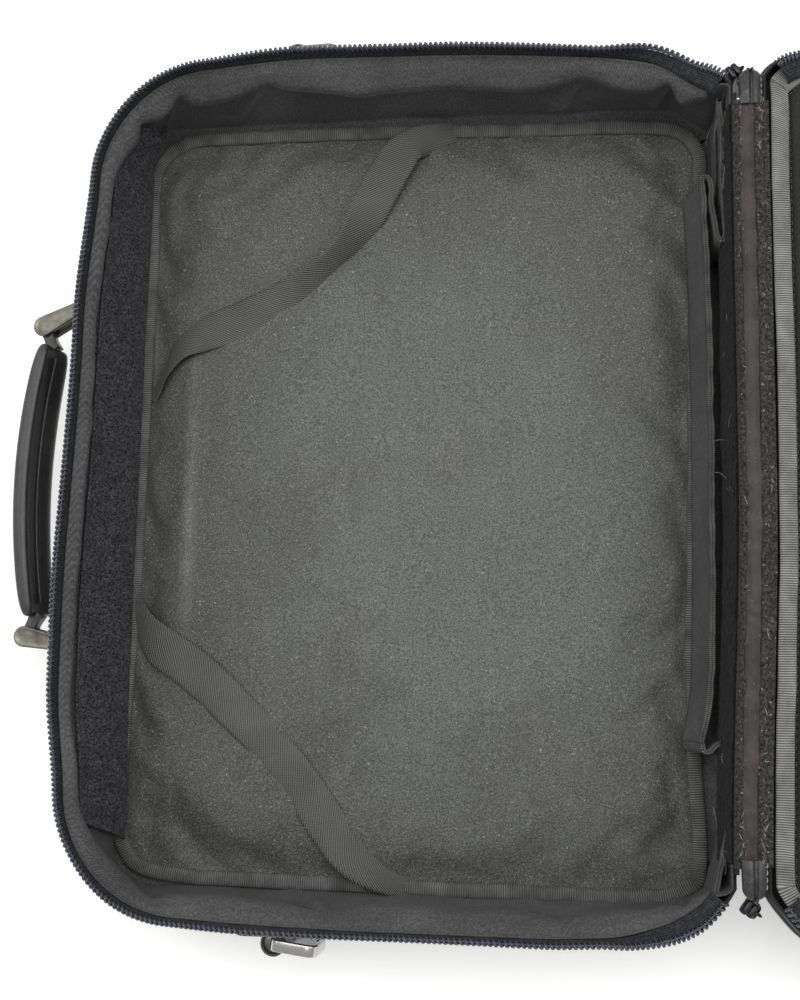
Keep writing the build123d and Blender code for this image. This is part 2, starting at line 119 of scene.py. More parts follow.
def lengths(points):
    steps = np.linalg.norm(np.diff(points, axis=0), axis=1)
    return np.concatenate([[0.0], np.cumsum(steps)])


def resample(points, step=None, count=None):
    """Points evenly spaced along a polyline."""
    points = np.asarray(points, float)
    s = lengths(points)
    count = count or max(2, int(round(s[-1] / step)) + 1)
    t = np.linspace(0.0, s[-1], count)
    return np.stack([np.interp(t, s, points[:, k]) for k in range(points.shape[1])], axis=1)


def smooth_path(points, count):
    """Catmull-Rom curve through points of any dimension, evenly spaced by its first three."""
    p = np.asarray(points, float)
    p = np.vstack([2.0 * p[0] - p[1], p, 2.0 * p[-1] - p[-2]])
    out = []
    for i in range(1, len(p) - 2):
        t = np.linspace(0.0, 1.0, 24, endpoint=False)[:, None]
        a, b, c, d = p[i - 1], p[i], p[i + 1], p[i + 2]
        out.append(0.5 * (2 * b + (c - a) * t + (2 * a - 5 * b + 4 * c - d) * t ** 2
                          + (3 * b - a - 3 * c + d) * t ** 3))
    out.append(p[-2][None])
    curve = np.vstack(out)
    s = lengths(curve[:, :3])
    t = np.linspace(0.0, s[-1], count)
    return np.stack([np.interp(t, s, curve[:, k]) for k in range(curve.shape[1])], axis=1)


# ---- the case's plan outline ---------------------------------------------------------------------

ARC_N, TOP_N, CORNER_N, SIDE_N, SPINE_N = 22, 84, 34, 110, 120


def outline(inset, corner_r, spine_inset=None):
    """Closed plan outline, anticlockwise seen from above, starting at the upper spine corner.

    Every call returns the same number of points, so outlines at different heights pair up."""
    spine_inset = inset if spine_inset is None else spine_inset
    left = -HALF_X + inset
    right = HALF_X - spine_inset
    half = HALF_Y - inset
    radius = NOTCH_R - inset
    run = NOTCH_RUN * radius / NOTCH_R
    notch_x = right - run
    reach = math.asin(run / radius)
    a = np.linspace(reach, 0.0, ARC_N, endpoint=False)
    upper_arc = np.stack([notch_x + radius * np.sin(a), half - radius * (1 - np.cos(a))], 1)
    t = np.linspace(notch_x, left + corner_r, TOP_N, endpoint=False)
    top = np.stack([t, np.full_like(t, half)], 1)
    a = np.linspace(0.0, math.pi / 2, CORNER_N, endpoint=False)
    corner = np.stack([left + corner_r - corner_r * np.sin(a), half - corner_r + corner_r * np.cos(a)], 1)
    t = np.linspace(half - corner_r, corner_r - half, SIDE_N, endpoint=False)
    side = np.stack([np.full_like(t, left), t], 1)
    mirror = np.array([1.0, -1.0])
    lower_corner = np.vstack([corner, [[left, half - corner_r]]])[:0:-1] * mirror
    lower = np.vstack([top, [[left + corner_r, half]]])[:0:-1] * mirror
    lower_arc = np.vstack([upper_arc, [[notch_x, half]]])[:0:-1] * mirror
    y_end = half - radius * (1 - math.cos(reach))
    t = np.linspace(-y_end, y_end, SPINE_N, endpoint=False)
    spine = np.stack([np.full_like(t, right), t], 1)
    return np.vstack([upper_arc, top, corner, side, lower_corner, lower, lower_arc, spine])


ZIP_END = 2 * (ARC_N + TOP_N + CORNER_N) + SIDE_N


def wall_ring(z, depth, spine_depth=None):
    """Plan outline at height z, depth inside the outer face of the wall."""
    spine_depth = depth if spine_depth is None else spine_depth
    share = 1.0 - z / RIM_Z
    radius = BASE_R + (RIM_R - BASE_R) * z / RIM_Z
    return outline(LEAN * share + depth, max(radius - depth, 5.0), HINGE_LEAN * share + spine_depth)


def outward(ring):
    """Plan normals of a closed ring."""
    along = np.roll(ring, -1, 0) - np.roll(ring, 1, 0)
    return unit(np.stack([along[:, 1], -along[:, 0]], 1))


def slump(p):
    """The relaxed shape of the real case: its sides have sunk and its handle corners drawn in."""
    p = np.array(p, float)
    x, y = p[..., 0].copy(), p[..., 1].copy()
    lift = np.clip(p[..., 2] / RIM_Z, 0.0, 1.0)
    handle_side = smooth(45.0, 120.0, -x)
    droop = 9.0 * smooth(0.0, 150.0, x) ** 1.2 * (1.0 - 0.9 * smooth(135.0, 156.0, x))
    droop += 3.2 * handle_side - 1.5 * bump(x, -45.0, 40.0)
    rise = 3.2 * bump(x, 120.0, 16.0) - 1.1 * smooth(-60.0, 0.0, x) * smooth(95.0, 70.0, x)
    rise += 3.0 * handle_side + 1.5 * smooth(140.0, 152.0, x)
    tuck = 4.2 * smooth(-60.0, 70.0, y) + 5.5 * smooth(75.0, 150.0, y) + 5.5 * smooth(95.0, 150.0, -y)
    p[..., 0] = x + lift * tuck * smooth(60.0, 150.0, -x)
    p[..., 1] = y + lift * (rise * smooth(120.0, 175.0, -y) - droop * smooth(120.0, 175.0, y))
    return p


def drift(p):
    """The spine doesn't lie square: its lower end sits nearer the case."""
    p = np.array(p, float)
    lift = np.clip(p[..., 2] / 40.0, 0.0, 1.0)
    p[..., 0] -= 5.0 * smooth(0.0, 175.0, -p[..., 1]) * smooth(100.0, 150.0, p[..., 0]) * lift
    return p


def soften(p):
    return drift(slump(p))


def turned(p, axis, angle):
    """Points turned about a line parallel to Y, in millimetres."""
    x = p[..., 0] - axis[0]
    z = p[..., 2] - axis[1]
    c, s = math.cos(angle), math.sin(angle)
    q = np.array(p, float)
    q[..., 0] = axis[0] + c * x + s * z
    q[..., 2] = axis[1] - s * x + c * z
    return q


def open_spine(p):
    return drift(turned(slump(p), HINGE_A, SPINE_TURN))


def open_lid(p):
    return drift(turned(turned(slump(p), HINGE_B, LID_TURN), HINGE_A, SPINE_TURN))


# ---- mesh helpers --------------------------------------------------------------------------------

class Part:
    """Vertices, faces and metre-scaled UVs of one piece, gathered from several surfaces."""

    def __init__(self):
        self.points = []
        self.faces = []
        self.uvs = []
        self.count = 0

    def add(self, points, faces, uvs=None):
        points = np.asarray(points, float).reshape(-1, 3)
        uvs = np.zeros((len(points), 2)) if uvs is None else np.asarray(uvs, float).reshape(-1, 2)
        self.points.append(points)
        self.uvs.append(uvs)
        self.faces += [tuple(i + self.count for i in f) for f in faces]
        self.count += len(points)
        return self

    def caps(self, start, rows, sides):
        """Closes both ends of a run of rings that begins at vertex start."""
        last = start + (rows - 1) * sides
        self.faces.append(tuple(start + i for i in range(sides))[::-1])
        self.faces.append(tuple(last + i for i in range(sides)))
        return self

    def grid(self, points, closed=False, uv=None, flip=False):
        """Sheet of quads over a rows x columns x 3 array; closed joins the last row to the first."""
        points = np.asarray(points, float)
        rows, cols = points.shape[:2]
        if uv is None:
            u = lengths(points[:, cols // 2])
            v = lengths(points[rows // 2])
            uv = np.stack(np.meshgrid(u, v, indexing="ij"), -1) * MM
        faces = grid_faces(rows, cols, closed, flip)
        return self.add(points, faces, uv)

    def tube(self, path, radius, sides=8, closed=False, capped=True):
        """Round tube; radius is a number or one for each point."""
        path = np.asarray(path, float)
        radius = np.broadcast_to(radius, (len(path),))
        ahead = np.roll(path, -1, 0) - np.roll(path, 1, 0)
        if not closed:
            ahead[0] = path[1] - path[0]
            ahead[-1] = path[-1] - path[-2]
        ahead = unit(ahead)
        side = carried_normals(ahead)
        other = np.cross(ahead, side)
        a = np.linspace(0.0, 2 * math.pi, sides, endpoint=False)
        ring = (np.cos(a)[None, :, None] * side[:, None] + np.sin(a)[None, :, None] * other[:, None])
        points = path[:, None] + ring * radius[:, None, None]
        u = lengths(path)
        uv = np.stack(np.meshgrid(u, a * float(np.mean(radius)), indexing="ij"), -1) * MM
        start = self.count
        self.add(points, ring_faces(len(path), sides, closed), uv)
        if capped and not closed:
            self.caps(start, len(path), sides)
        return self


def grid_faces(rows, cols, closed=False, flip=False):
    r = np.arange(rows if closed else rows - 1)[:, None]
    c = np.arange(cols - 1)[None, :]
    a = (r * cols + c).ravel()
    b = (((r + 1) % rows) * cols + c).ravel()
    quads = np.stack([a, b, b + 1, a + 1], 1)
    return (quads[:, ::-1] if flip else quads).tolist()


def ring_faces(rows, sides, closed=False):
    """Faces of a grid whose columns wrap round."""
    r = np.arange(rows if closed else rows - 1)[:, None]
    c = np.arange(sides)[None, :]
    a = r * sides + c
    b = ((r + 1) % rows) * sides + c
    n = (c + 1) % sides
    d = r * sides + n
    e = ((r + 1) % rows) * sides + n
    return np.stack([a.ravel(), d.ravel(), e.ravel(), b.ravel()], 1).tolist()


def carried_normals(ahead):
    """One normal for each tangent, carried along without twist."""
    first = np.cross(ahead[0], (0.0, 0.0, 1.0))
    if np.linalg.norm(first) < 1e-3:
        first = np.cross(ahead[0], (1.0, 0.0, 0.0))
    out = [unit(first)]
    for t in ahead[1:]:
        n = out[-1] - t * np.dot(out[-1], t)
        out.append(n / max(np.linalg.norm(n), 1e-9))
    return np.array(out)


def piece(name, part, material, body, replaces=(), place=None, smooth_shade=True):
    """Turns a Part into an object that rides on a body and stands for CAD nodes."""
    points = np.vstack(part.points)
    if place is not None:
        points = place(points)
    mesh = bpy.data.meshes.new(name)
    mesh.from_pydata((points * MM).tolist(), [], part.faces)
    layer = mesh.uv_layers.new(name="UVMap")
    loops = np.zeros(len(mesh.loops), int)
    mesh.loops.foreach_get("vertex_index", loops)
    layer.data.foreach_set("uv", np.vstack(part.uvs)[loops].ravel())
    if smooth_shade:
        mesh.polygons.foreach_set("use_smooth", [True] * len(mesh.polygons))
    mesh.validate()
    mesh.materials.append(material)
    obj = bpy.data.objects.new(name, mesh)
    bpy.context.scene.collection.objects.link(obj)
    if body:
        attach(obj, body)
    if replaces:
        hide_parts(*replaces)
    return obj


def apply_modifiers(obj):
    """Bakes the object's modifiers into its mesh."""
    bpy.context.view_layer.update()
    graph = bpy.context.evaluated_depsgraph_get()
    mesh = bpy.data.meshes.new_from_object(obj.evaluated_get(graph), depsgraph=graph)
    obj.modifiers.clear()
    old = obj.data
    obj.data = mesh
    bpy.data.meshes.remove(old)
    return obj


def thicken(obj, amount, offset=-1.0):
    mod = obj.modifiers.new("thickness", "SOLIDIFY")
    mod.thickness = amount * MM
    mod.offset = offset
    mod.use_even_offset = False
    return apply_modifiers(obj)


def rounded(obj, levels=1):
    mod = obj.modifiers.new("subdivision", "SUBSURF")
    mod.levels = levels
    mod.render_levels = levels
    return apply_modifiers(obj)


# ---- materials -----------------------------------------------------------------------------------

class Look:
    """Small builder for one node material."""

    def __init__(self, name, roughness, **sockets):
        self.material = bpy.data.materials.new(name)
        self.material.use_nodes = True
        self.nodes = self.material.node_tree.nodes
        self.links = self.material.node_tree.links
        self.nodes.clear()
        out = self.nodes.new("ShaderNodeOutputMaterial")
        self.shader = self.nodes.new("ShaderNodeBsdfPrincipled")
        self.links.new(self.shader.outputs[0], out.inputs[0])
        self.shader.inputs["Roughness"].default_value = roughness
        for label, value in sockets.items():
            self.shader.inputs[label.replace("_", " ")].default_value = value
        self.place = self.nodes.new("ShaderNodeTexCoord")
        self.height = None

    def node(self, kind, inputs, **settings):
        made = self.nodes.new(kind)
        for label, value in settings.items():
            setattr(made, label, value)
        for label, value in inputs.items():
            if isinstance(value, bpy.types.NodeSocket):
                self.links.new(value, made.inputs[label])
            else:
                made.inputs[label].default_value = value
        return made

    def where(self, uv=False, scale=(1.0, 1.0, 1.0), turn=0.0):
        source = self.place.outputs["UV" if uv else "Object"]
        turn = turn if isinstance(turn, tuple) else (0.0, 0.0, turn)
        inputs = {"Vector": source, "Scale": scale, "Rotation": turn}
        return self.node("ShaderNodeMapping", inputs).outputs[0]

    def noise(self, size, uv=False, detail=3.0, stretch=(1.0, 1.0, 1.0), turn=0.0, rough=0.55):
        """Noise whose blobs are about size millimetres across."""
        at = self.where(uv, stretch, turn)
        made = self.node("ShaderNodeTexNoise", {"Vector": at, "Scale": 1.0 / (size * MM),
                                                "Detail": detail, "Roughness": rough})
        return made.outputs["Fac"]

    def wave(self, pitch, uv=False, turn=0.0, distortion=0.0):
        """Sine ribs of the given pitch across X, in millimetres."""
        at = self.where(uv, (1.0, 1.0, 1.0), turn)
        made = self.node("ShaderNodeTexWave", {"Vector": at, "Scale": math.pi / 10.0 / (pitch * MM),
                                               "Distortion": distortion, "Detail Scale": 2.0},
                         wave_profile="SIN", bands_direction="X")
        return made.outputs["Fac"]

    def ramp(self, value, low, high, a=0.0, b=1.0):
        return self.node("ShaderNodeMapRange", {"Value": value, "From Min": low, "From Max": high,
                                                "To Min": a, "To Max": b}).outputs[0]

    def math(self, kind, a, b=0.0):
        return self.node("ShaderNodeMath", {0: a, 1: b}, operation=kind).outputs[0]

    def times(self, a, b):
        return self.math("MULTIPLY", a, b)

    def mix(self, share, a, b):
        made = self.nodes.new("ShaderNodeMix")
        made.data_type = "RGBA"
        factor, first, second = (made.inputs[i] for i in (0, 6, 7))
        for socket, value in ((factor, share), (first, grey(a)), (second, grey(b))):
            if isinstance(value, bpy.types.NodeSocket):
                self.links.new(value, socket)
            else:
                socket.default_value = value
        return made.outputs[2]

    def colour(self, value):
        value = grey(value)
        if isinstance(value, bpy.types.NodeSocket):
            self.links.new(value, self.shader.inputs["Base Color"])
        else:
            self.shader.inputs["Base Color"].default_value = value
        return self

    def rough(self, value):
        self.links.new(value, self.shader.inputs["Roughness"])
        return self

    def bump(self, height, depth, strength=1.0):
        """Adds relief of depth millimetres on top of what is there."""
        inputs = {"Height": height, "Distance": depth * MM, "Strength": strength}
        if self.height is not None:
            inputs["Normal"] = self.height
        self.height = self.node("ShaderNodeBump", inputs).outputs[0]
        self.links.new(self.height, self.shader.inputs["Normal"])
        return self


def srgb(*levels):
    """Linear colour of 0-255 screen levels."""
    levels = levels * 3 if len(levels) == 1 else levels
    linear = [((v / 255 + 0.055) / 1.055) ** 2.4 if v > 10 else v / 255 / 12.92 for v in levels]
    return (*linear, 1.0)


def grey(value):
    """Plain numbers are screen grey levels; tuples and sockets pass through."""
    return srgb(value) if isinstance(value, (int, float)) else value


def woven(name, dark, light, worn, thread, roughness, patch=40.0):
    """Cloth with a diagonal twill, faded patches and pale specks of lint."""
    look = Look(name, roughness, Sheen_Weight=0.06, Specular_IOR_Level=0.25)
    twill = look.wave(thread, turn=(0.5, 0.7, 0.6))
    cross = look.wave(thread * 0.8, turn=(0.5, 0.7, 2.1))
    weave = look.times(twill, look.ramp(cross, 0.0, 1.0, 0.55, 1.0))
    fading = look.ramp(look.noise(patch, detail=5.0), 0.35, 0.68)
    base = look.mix(fading, dark, light)
    threads = look.mix(look.ramp(weave, 0.2, 1.0, 0.0, 0.45), base, worn)
    grain = look.mix(look.ramp(look.noise(1.1, detail=2.0), 0.38, 0.62, 0.0, 0.55), threads, dark * 0.6)
    specks = look.ramp(look.noise(1.1, detail=2.0), 0.70, 0.76)
    look.colour(look.mix(look.times(specks, 0.5), grain, 130))
    look.bump(weave, 0.06, 0.8)
    look.bump(look.noise(5.0, detail=4.0), 0.3, 0.4)
    return look.material


def ribbed(name, dark, light, pitch, roughness=0.75):
    """Ribbed tape: cords across, following the piece's own length."""
    look = Look(name, roughness, Sheen_Weight=0.05, Specular_IOR_Level=0.3)
    ribs = look.wave(pitch, uv=True)
    worn = look.ramp(look.noise(9.0, detail=4.0), 0.3, 0.7)
    base = look.mix(worn, dark, light)
    fibres = look.noise(0.35, detail=1.0)
    tone = look.times(ribs, look.ramp(fibres, 0.2, 0.8, 0.6, 1.0))
    look.colour(look.mix(look.ramp(tone, 0.1, 0.8), look.mix(0.75, base, 18), base))
    look.bump(ribs, 0.2, 0.9)
    look.bump(fibres, 0.05, 0.5)
    return look.material


def outer_fabric():
    look = Look("outer_fabric", 0.66, Sheen_Weight=0.05, Specular_IOR_Level=0.3)
    warp = look.wave(0.9, turn=0.0)
    weft = look.wave(0.9, turn=math.pi / 2)
    rise = look.wave(0.9, uv=True, turn=math.pi / 2)
    weave = look.times(look.math("MAXIMUM", warp, rise), look.math("ADD", weft, 0.4))
    worn = look.ramp(look.noise(45.0, detail=4.0), 0.4, 0.7)
    fibres = look.ramp(look.noise(1.0, detail=3.0), 0.36, 0.66)
    thread = look.times(look.math("ADD", weave, fibres), 0.26)
    look.colour(look.mix(thread, look.mix(worn, 26, 34), 58))
    look.bump(weave, 0.08, 0.6)
    look.bump(fibres, 0.12, 0.6)
    return look.material


def satin():
    """Floor fabric: satin twill, speckled, with a painted sheen that makes it pale in the middle and dark at
    the edges.
    """
    look = Look("satin_floor", 0.6, Sheen_Weight=0.05, Specular_IOR_Level=0.3)
    twill_line = look.wave(0.8, turn=0.55)
    split = look.node("ShaderNodeSeparateXYZ", {"Vector": look.place.outputs["Object"]})
    # painted sheen: across and along mask the middle of the floor, which is made paler, and leave the edges
    # darker
    across = look.ramp(look.math("ABSOLUTE", look.math("ADD", split.outputs[0], -0.018)), 0.125, 0.03)
    along = look.ramp(look.math("ABSOLUTE", look.math("ADD", split.outputs[1], 0.01)), 0.18, 0.05)
    middle = look.times(across, along)
    cloudy = look.ramp(look.noise(70.0, detail=8.0, rough=0.66), 0.38, 0.62)
    streaks = look.ramp(look.noise(12.0, detail=6.0, stretch=(2.2, 0.5, 1.0), rough=0.65), 0.46, 0.72)
    # faded mixes the painted sheen of the middle with random cloudy tone
    faded = look.times(look.math("ADD", middle, 0.25), look.math("ADD", cloudy, 0.45))
    base = look.mix(look.ramp(faded, 0.1, 1.1), srgb(66, 67, 65), srgb(112, 115, 113))
    # pale streaks, kept to the painted-sheen middle
    base = look.mix(look.times(look.times(streaks, middle), 0.4), base, srgb(140, 140, 133))
    # painted highlight, partly wear: a pale line along the crest of the left fold
    ridge = look.ramp(look.math("ABSOLUTE", look.math("ADD", split.outputs[0], 0.105)), 0.0045, 0.0)
    reach = look.ramp(look.math("ABSOLUTE", look.math("ADD", split.outputs[1], 0.005)), 0.10, 0.03)
    ridge = look.times(look.times(ridge, reach), look.ramp(look.noise(20.0), 0.3, 0.6))
    base = look.mix(look.times(ridge, 0.5), base, srgb(150, 153, 150))
    grain = look.ramp(look.noise(0.62, detail=2.0), 0.42, 0.64)
    base = look.mix(look.times(grain, 0.55), base, srgb(150, 152, 147))
    pores = look.ramp(look.noise(0.8, detail=2.0, rough=0.6), 0.56, 0.40)
    base = look.mix(look.times(pores, 0.62), base, srgb(44, 45, 44))
    line = look.mix(look.ramp(twill_line, 0.0, 1.0, 0.42, 0.0), base, srgb(50))
    specks = look.ramp(look.noise(1.3, detail=1.5), 0.69, 0.74)
    look.colour(look.mix(look.times(specks, 0.7), line, srgb(168, 164, 150)))
    look.rough(look.ramp(cloudy, 0.0, 1.0, 0.42, 0.62))
    look.bump(twill_line, 0.06, 0.7)
    look.bump(look.noise(7.0, detail=5.0), 0.45, 0.45)
    return look.material


def pile(name, deep, tip):
    look = Look(name, 0.95, Sheen_Weight=0.08, Specular_IOR_Level=0.15)
    tufts = look.noise(1.0, detail=3.0, rough=0.7, stretch=(1.0, 1.0, 0.55))
    clumps = look.noise(7.0, detail=3.0)
    base = look.mix(look.ramp(tufts, 0.38, 0.64), deep, tip)
    look.colour(look.mix(look.ramp(clumps, 0.38, 0.68, 0.0, 0.45), base, deep))
    look.bump(tufts, 0.7, 1.0)
    look.bump(look.noise(0.5, detail=2.0), 0.3, 0.8)
    return look.material


def elastic():
    """Elastic webbing: fine cords along the ribbon, crossed by slanted ribs."""
    look = Look("elastic", 0.5, Sheen_Weight=0.06, Specular_IOR_Level=0.5)
    ribs = look.wave(1.05, uv=True, turn=0.85)
    cords = look.wave(0.8, uv=True, turn=math.pi / 2)
    weave = look.times(ribs, look.ramp(cords, 0.0, 1.0, 0.6, 1.0))
    worn = look.ramp(look.noise(22.0, detail=4.0), 0.35, 0.7)
    base = look.mix(worn, srgb(30, 31, 30), srgb(58, 59, 57))
    look.colour(look.mix(look.ramp(weave, 0.1, 0.9, 0.0, 0.9), base, srgb(118, 119, 115)))
    look.bump(weave, 0.22, 1.0)
    return look.material


def tape_cloth():
    look = Look("zip_tape", 0.85, Sheen_Weight=0.05, Specular_IOR_Level=0.2)
    knit = look.wave(1.2, uv=True)
    rows = look.wave(1.0, uv=True, turn=math.pi / 2)
    weave = look.times(knit, rows)
    fluff = look.ramp(look.noise(1.6, detail=3.0), 0.45, 0.75)
    base = look.mix(look.ramp(weave, 0.0, 1.0), srgb(28, 29, 31), srgb(62, 63, 66))
    look.colour(look.mix(look.times(fluff, 0.35), base, srgb(92, 92, 94)))
    look.bump(weave, 0.15, 0.8)
    return look.material


def coil_plastic():
    look = Look("zip_coil", 0.26, Specular_IOR_Level=0.55, Coat_Weight=0.25, Coat_Roughness=0.15)
    look.colour(look.mix(look.ramp(look.noise(3.0), 0.3, 0.7), srgb(44, 48, 58), srgb(78, 82, 92)))
    look.bump(look.noise(0.6), 0.04, 0.4)
    return look.material


def vinyl():
    """Spine vinyl, rubbed to a dull reddish brown towards both ends."""
    look = Look("spine_vinyl", 0.45, Specular_IOR_Level=0.4)
    split = look.node("ShaderNodeSeparateXYZ", {"Vector": look.place.outputs["Object"]})
    ends = look.ramp(look.math("ABSOLUTE", split.outputs[1]), 0.07, 0.165)
    patches = look.ramp(look.noise(11.0, detail=5.0, stretch=(2.5, 0.6, 1.0)), 0.38, 0.62)
    rub = look.times(ends, patches)
    base = look.mix(look.ramp(look.noise(16.0, detail=5.0), 0.35, 0.7), srgb(28, 28, 27), srgb(58, 57, 55))
    base = look.mix(look.times(rub, 0.6), base, srgb(72, 52, 49))
    specks = look.ramp(look.noise(0.9, detail=2.0), 0.68, 0.74)
    look.colour(look.mix(look.times(specks, 0.6), base, srgb(140, 135, 126)))
    look.bump(look.noise(2.2, detail=5.0, stretch=(1.0, 0.35, 1.0)), 0.3, 0.6)
    return look.material


def seam_cloth():
    look = Look("spine_seam", 0.95, Sheen_Weight=0.06, Specular_IOR_Level=0.2)
    fluff = look.noise(1.2, detail=4.0, rough=0.7)
    base = look.mix(look.ramp(fluff, 0.38, 0.64), srgb(28, 27, 28), srgb(82, 79, 77))
    lint = look.ramp(look.noise(1.7, detail=2.0), 0.67, 0.73)
    look.colour(look.mix(look.times(lint, 0.8), base, srgb(160, 156, 148)))
    look.bump(fluff, 0.5, 0.9)
    return look.material


def leather(name, dark, light, roughness):
    look = Look(name, roughness, Specular_IOR_Level=0.5, Coat_Weight=0.45, Coat_Roughness=0.28)
    cells = look.node("ShaderNodeTexVoronoi", {"Vector": look.where(), "Scale": 1.0 / (0.9 * MM)},
                      feature="DISTANCE_TO_EDGE")
    grain = look.ramp(cells.outputs["Distance"], 0.0, 0.22)
    wear = look.ramp(look.noise(18.0, detail=5.0), 0.45, 0.75)
    look.colour(look.mix(look.times(grain, 0.5), look.mix(wear, dark, light), light + 10))
    look.rough(look.ramp(wear, 0.0, 1.0, roughness - 0.04, roughness + 0.16))
    look.bump(grain, 0.09, 0.7)
    look.bump(look.noise(4.0, detail=4.0), 0.2, 0.4)
    return look.material


def metal(name, colour, roughness, tarnish):
    look = Look(name, roughness, Metallic=1.0)
    dirt = look.ramp(look.noise(6.0, detail=6.0), 0.4, 0.72)
    look.colour(look.mix(look.times(dirt, tarnish), colour, srgb(62, 58, 48)))
    look.rough(look.ramp(look.noise(1.8, detail=4.0), 0.3, 0.7, roughness * 0.75, roughness * 1.4))
    look.bump(look.noise(0.5, detail=3.0), 0.02, 0.4)
    return look.material


def thread_look():
    look = Look("thread", 0.75)
    look.colour(look.mix(look.ramp(look.noise(0.8), 0.35, 0.65), srgb(40), srgb(76)))
    look.bump(look.noise(0.3), 0.05, 0.6)
    return look.material


def lint_look():
    look = Look("lint", 0.85)
    look.colour(look.mix(look.ramp(look.noise(2.0), 0.3, 0.7), srgb(112, 109, 102), srgb(176, 173, 165)))
    look.bump(look.noise(0.4), 0.05, 0.5)
    return look.material


FABRIC = outer_fabric()
PIPING = leather("piping", 16, 30, 0.4)
TWILL = woven("twill_lining", 72, 96, 124, 0.9, 0.6)
LID_TWILL = woven("lid_twill", 34, 45, 62, 0.9, 0.7)
SATIN = satin()
GROSGRAIN = ribbed("grosgrain", srgb(92, 93, 90), srgb(132, 133, 128), 1.07)
LID_GROSGRAIN = ribbed("lid_grosgrain", srgb(140, 141, 136), srgb(184, 184, 178), 1.03)
HEM = ribbed("hem_cloth", srgb(84, 86, 84), srgb(128, 129, 125), 0.9)
PILE = pile("loop_pile", srgb(13, 13, 15), srgb(96, 95, 102))
# painted shade: a darker copy of the same loop pile, used for the strip by the hinge
HINGE_PILE_PAINTED_SHADE = pile("hinge_pile_painted_shade", srgb(9, 9, 10), srgb(36, 35, 39))
ELASTIC = elastic()
TAPE_CLOTH = tape_cloth()
COIL = coil_plastic()
VINYL = vinyl()
SEAM = seam_cloth()
LEATHER = leather("leather", 24, 56, 0.34)
NICKEL = metal("antique_nickel", srgb(132, 131, 122), 0.32, 0.7)
BRIGHT = metal("bright_nickel", srgb(196, 195, 192), 0.18, 0.15)
GUNMETAL = metal("slider_metal", srgb(64, 65, 70), 0.34, 0.4)
THREAD = thread_look()
LINT = lint_look()


# ---- deep half: fabric walls ---------------------------------------------------------------------

def at_height(ring, z):
    z = np.broadcast_to(np.asarray(z, float), (len(ring),))
    return np.column_stack([ring, z])


def outer_wall_rows():
    """Plan rings of the outer fabric from the base edge up, each moved a little by hand wear."""
    rows = []
    for z in list(np.linspace(0.0, EDGE_R, 7)) + list(np.linspace(EDGE_R + 2.5, SHELL_TOP, 15)):
        if z < EDGE_R:
            turn = math.acos(1.0 - z / EDGE_R)
            ring = wall_ring(z, EDGE_R * (1.0 - math.sin(turn)))
        else:
            ring = wall_ring(z, 0.0)
        rows.append(at_height(ring, z))
    rows = np.array(rows)
    puff = 1.1 * field(rows, 60.0, 3) + 0.35 * field(rows, 14.0, 4)
    puff += 1.2 * np.sin(np.pi * np.clip(rows[..., 2] / SHELL_TOP, 0, 1))
    normal = outward(wall_ring(RIM_Z, 0.0))
    rows[..., :2] += (puff * smooth(0.0, 6.0, rows[..., 2]))[..., None] * normal[None]
    return rows


# The wall and its sealed foam and boards, which the outer fabric and the lining cover
INNER_LAYERS = ["shell_outer", "wall_foam", "base_foam", "base_board"]


def shell():
    rows = outer_wall_rows()
    part = Part()
    part.grid(rows.transpose(1, 0, 2), closed=True)
    base = rows[0]
    centre = np.array([0.0, 0.0, 0.0])
    shrink = np.linspace(0.0, 0.97, 14)
    sheet = np.array([base * (1 - t) + centre * t for t in shrink])
    sheet[..., 2] = 0.5 * (field(sheet, 50.0, 5) + 0.8) * smooth(0.0, 0.2, shrink)[:, None]
    part.grid(sheet[::-1].transpose(1, 0, 2), closed=True)
    last = part.count - len(base) * len(shrink)
    part.faces.append(tuple(last + i * len(shrink) for i in range(len(base)))[::-1])
    part.grid(hinge_wall_rows())
    made = piece("shell", part, FABRIC, "case_base", INNER_LAYERS, soften)
    weld(made)
    return thicken(made, 1.3)


def hinge_wall_rows():
    """The spine-side wall's upper part, up to the fold line."""
    y = np.linspace(-172.0, 172.0, 90)
    z = np.linspace(SHELL_TOP, RIM_Z - 0.6, 6)
    x = HALF_X - HINGE_LEAN * (1.0 - z / RIM_Z)
    rows = np.array([[(x[j], v, z[j]) for j in range(len(z))] for v in y])
    rows[..., 0] += 0.3 * field(rows, 20.0, 6)
    return rows


def weld(obj):
    mod = obj.modifiers.new("weld", "WELD")
    mod.merge_threshold = 0.00002
    return apply_modifiers(obj)


def piping():
    ring = wall_ring(EDGE_R + 1.3, -1.0)
    path = at_height(ring, EDGE_R + 1.3)
    path = resample(np.vstack([path, path[:1]]), step=2.5)[:-1]
    part = Part().tube(path, 1.35, sides=10, closed=True)
    piece("piping", part, PIPING, "case_base", ["base_piping"], soften)
    stitch_row("piping_stitches", path + (0.0, 0.0, 2.6), "case_base", "piping", soften, push=0.9)


def stitches(path, stitch=2.6, gap=0.7, radius=0.22, lift=0.15):
    """Row of short raised threads along a path."""
    part = Part()
    s = lengths(path)
    count = int(s[-1] // (stitch + gap))
    starts = np.arange(count) * (stitch + gap)
    share = np.linspace(0.0, 1.0, 5)
    rise = lift * np.sin(np.pi * share)
    for start in starts:
        at = start + share * stitch
        points = np.stack([np.interp(at, s, path[:, k]) for k in range(3)], 1)
        points[:, 2] += rise
        part.tube(points, radius * (0.55 + 0.45 * np.sin(np.pi * share)), sides=5)
    return part


def stitch_row(name, path, body, slot, place=None, push=0.0, **options):
    """Stitches along a path, pushed away from the case's middle."""
    path = np.array(path, float)
    away = unit(path * (1.0, 1.0, 0.0))
    part = stitches(path + away * push, **options)
    return piece(name, part, THREAD, body, place=place)


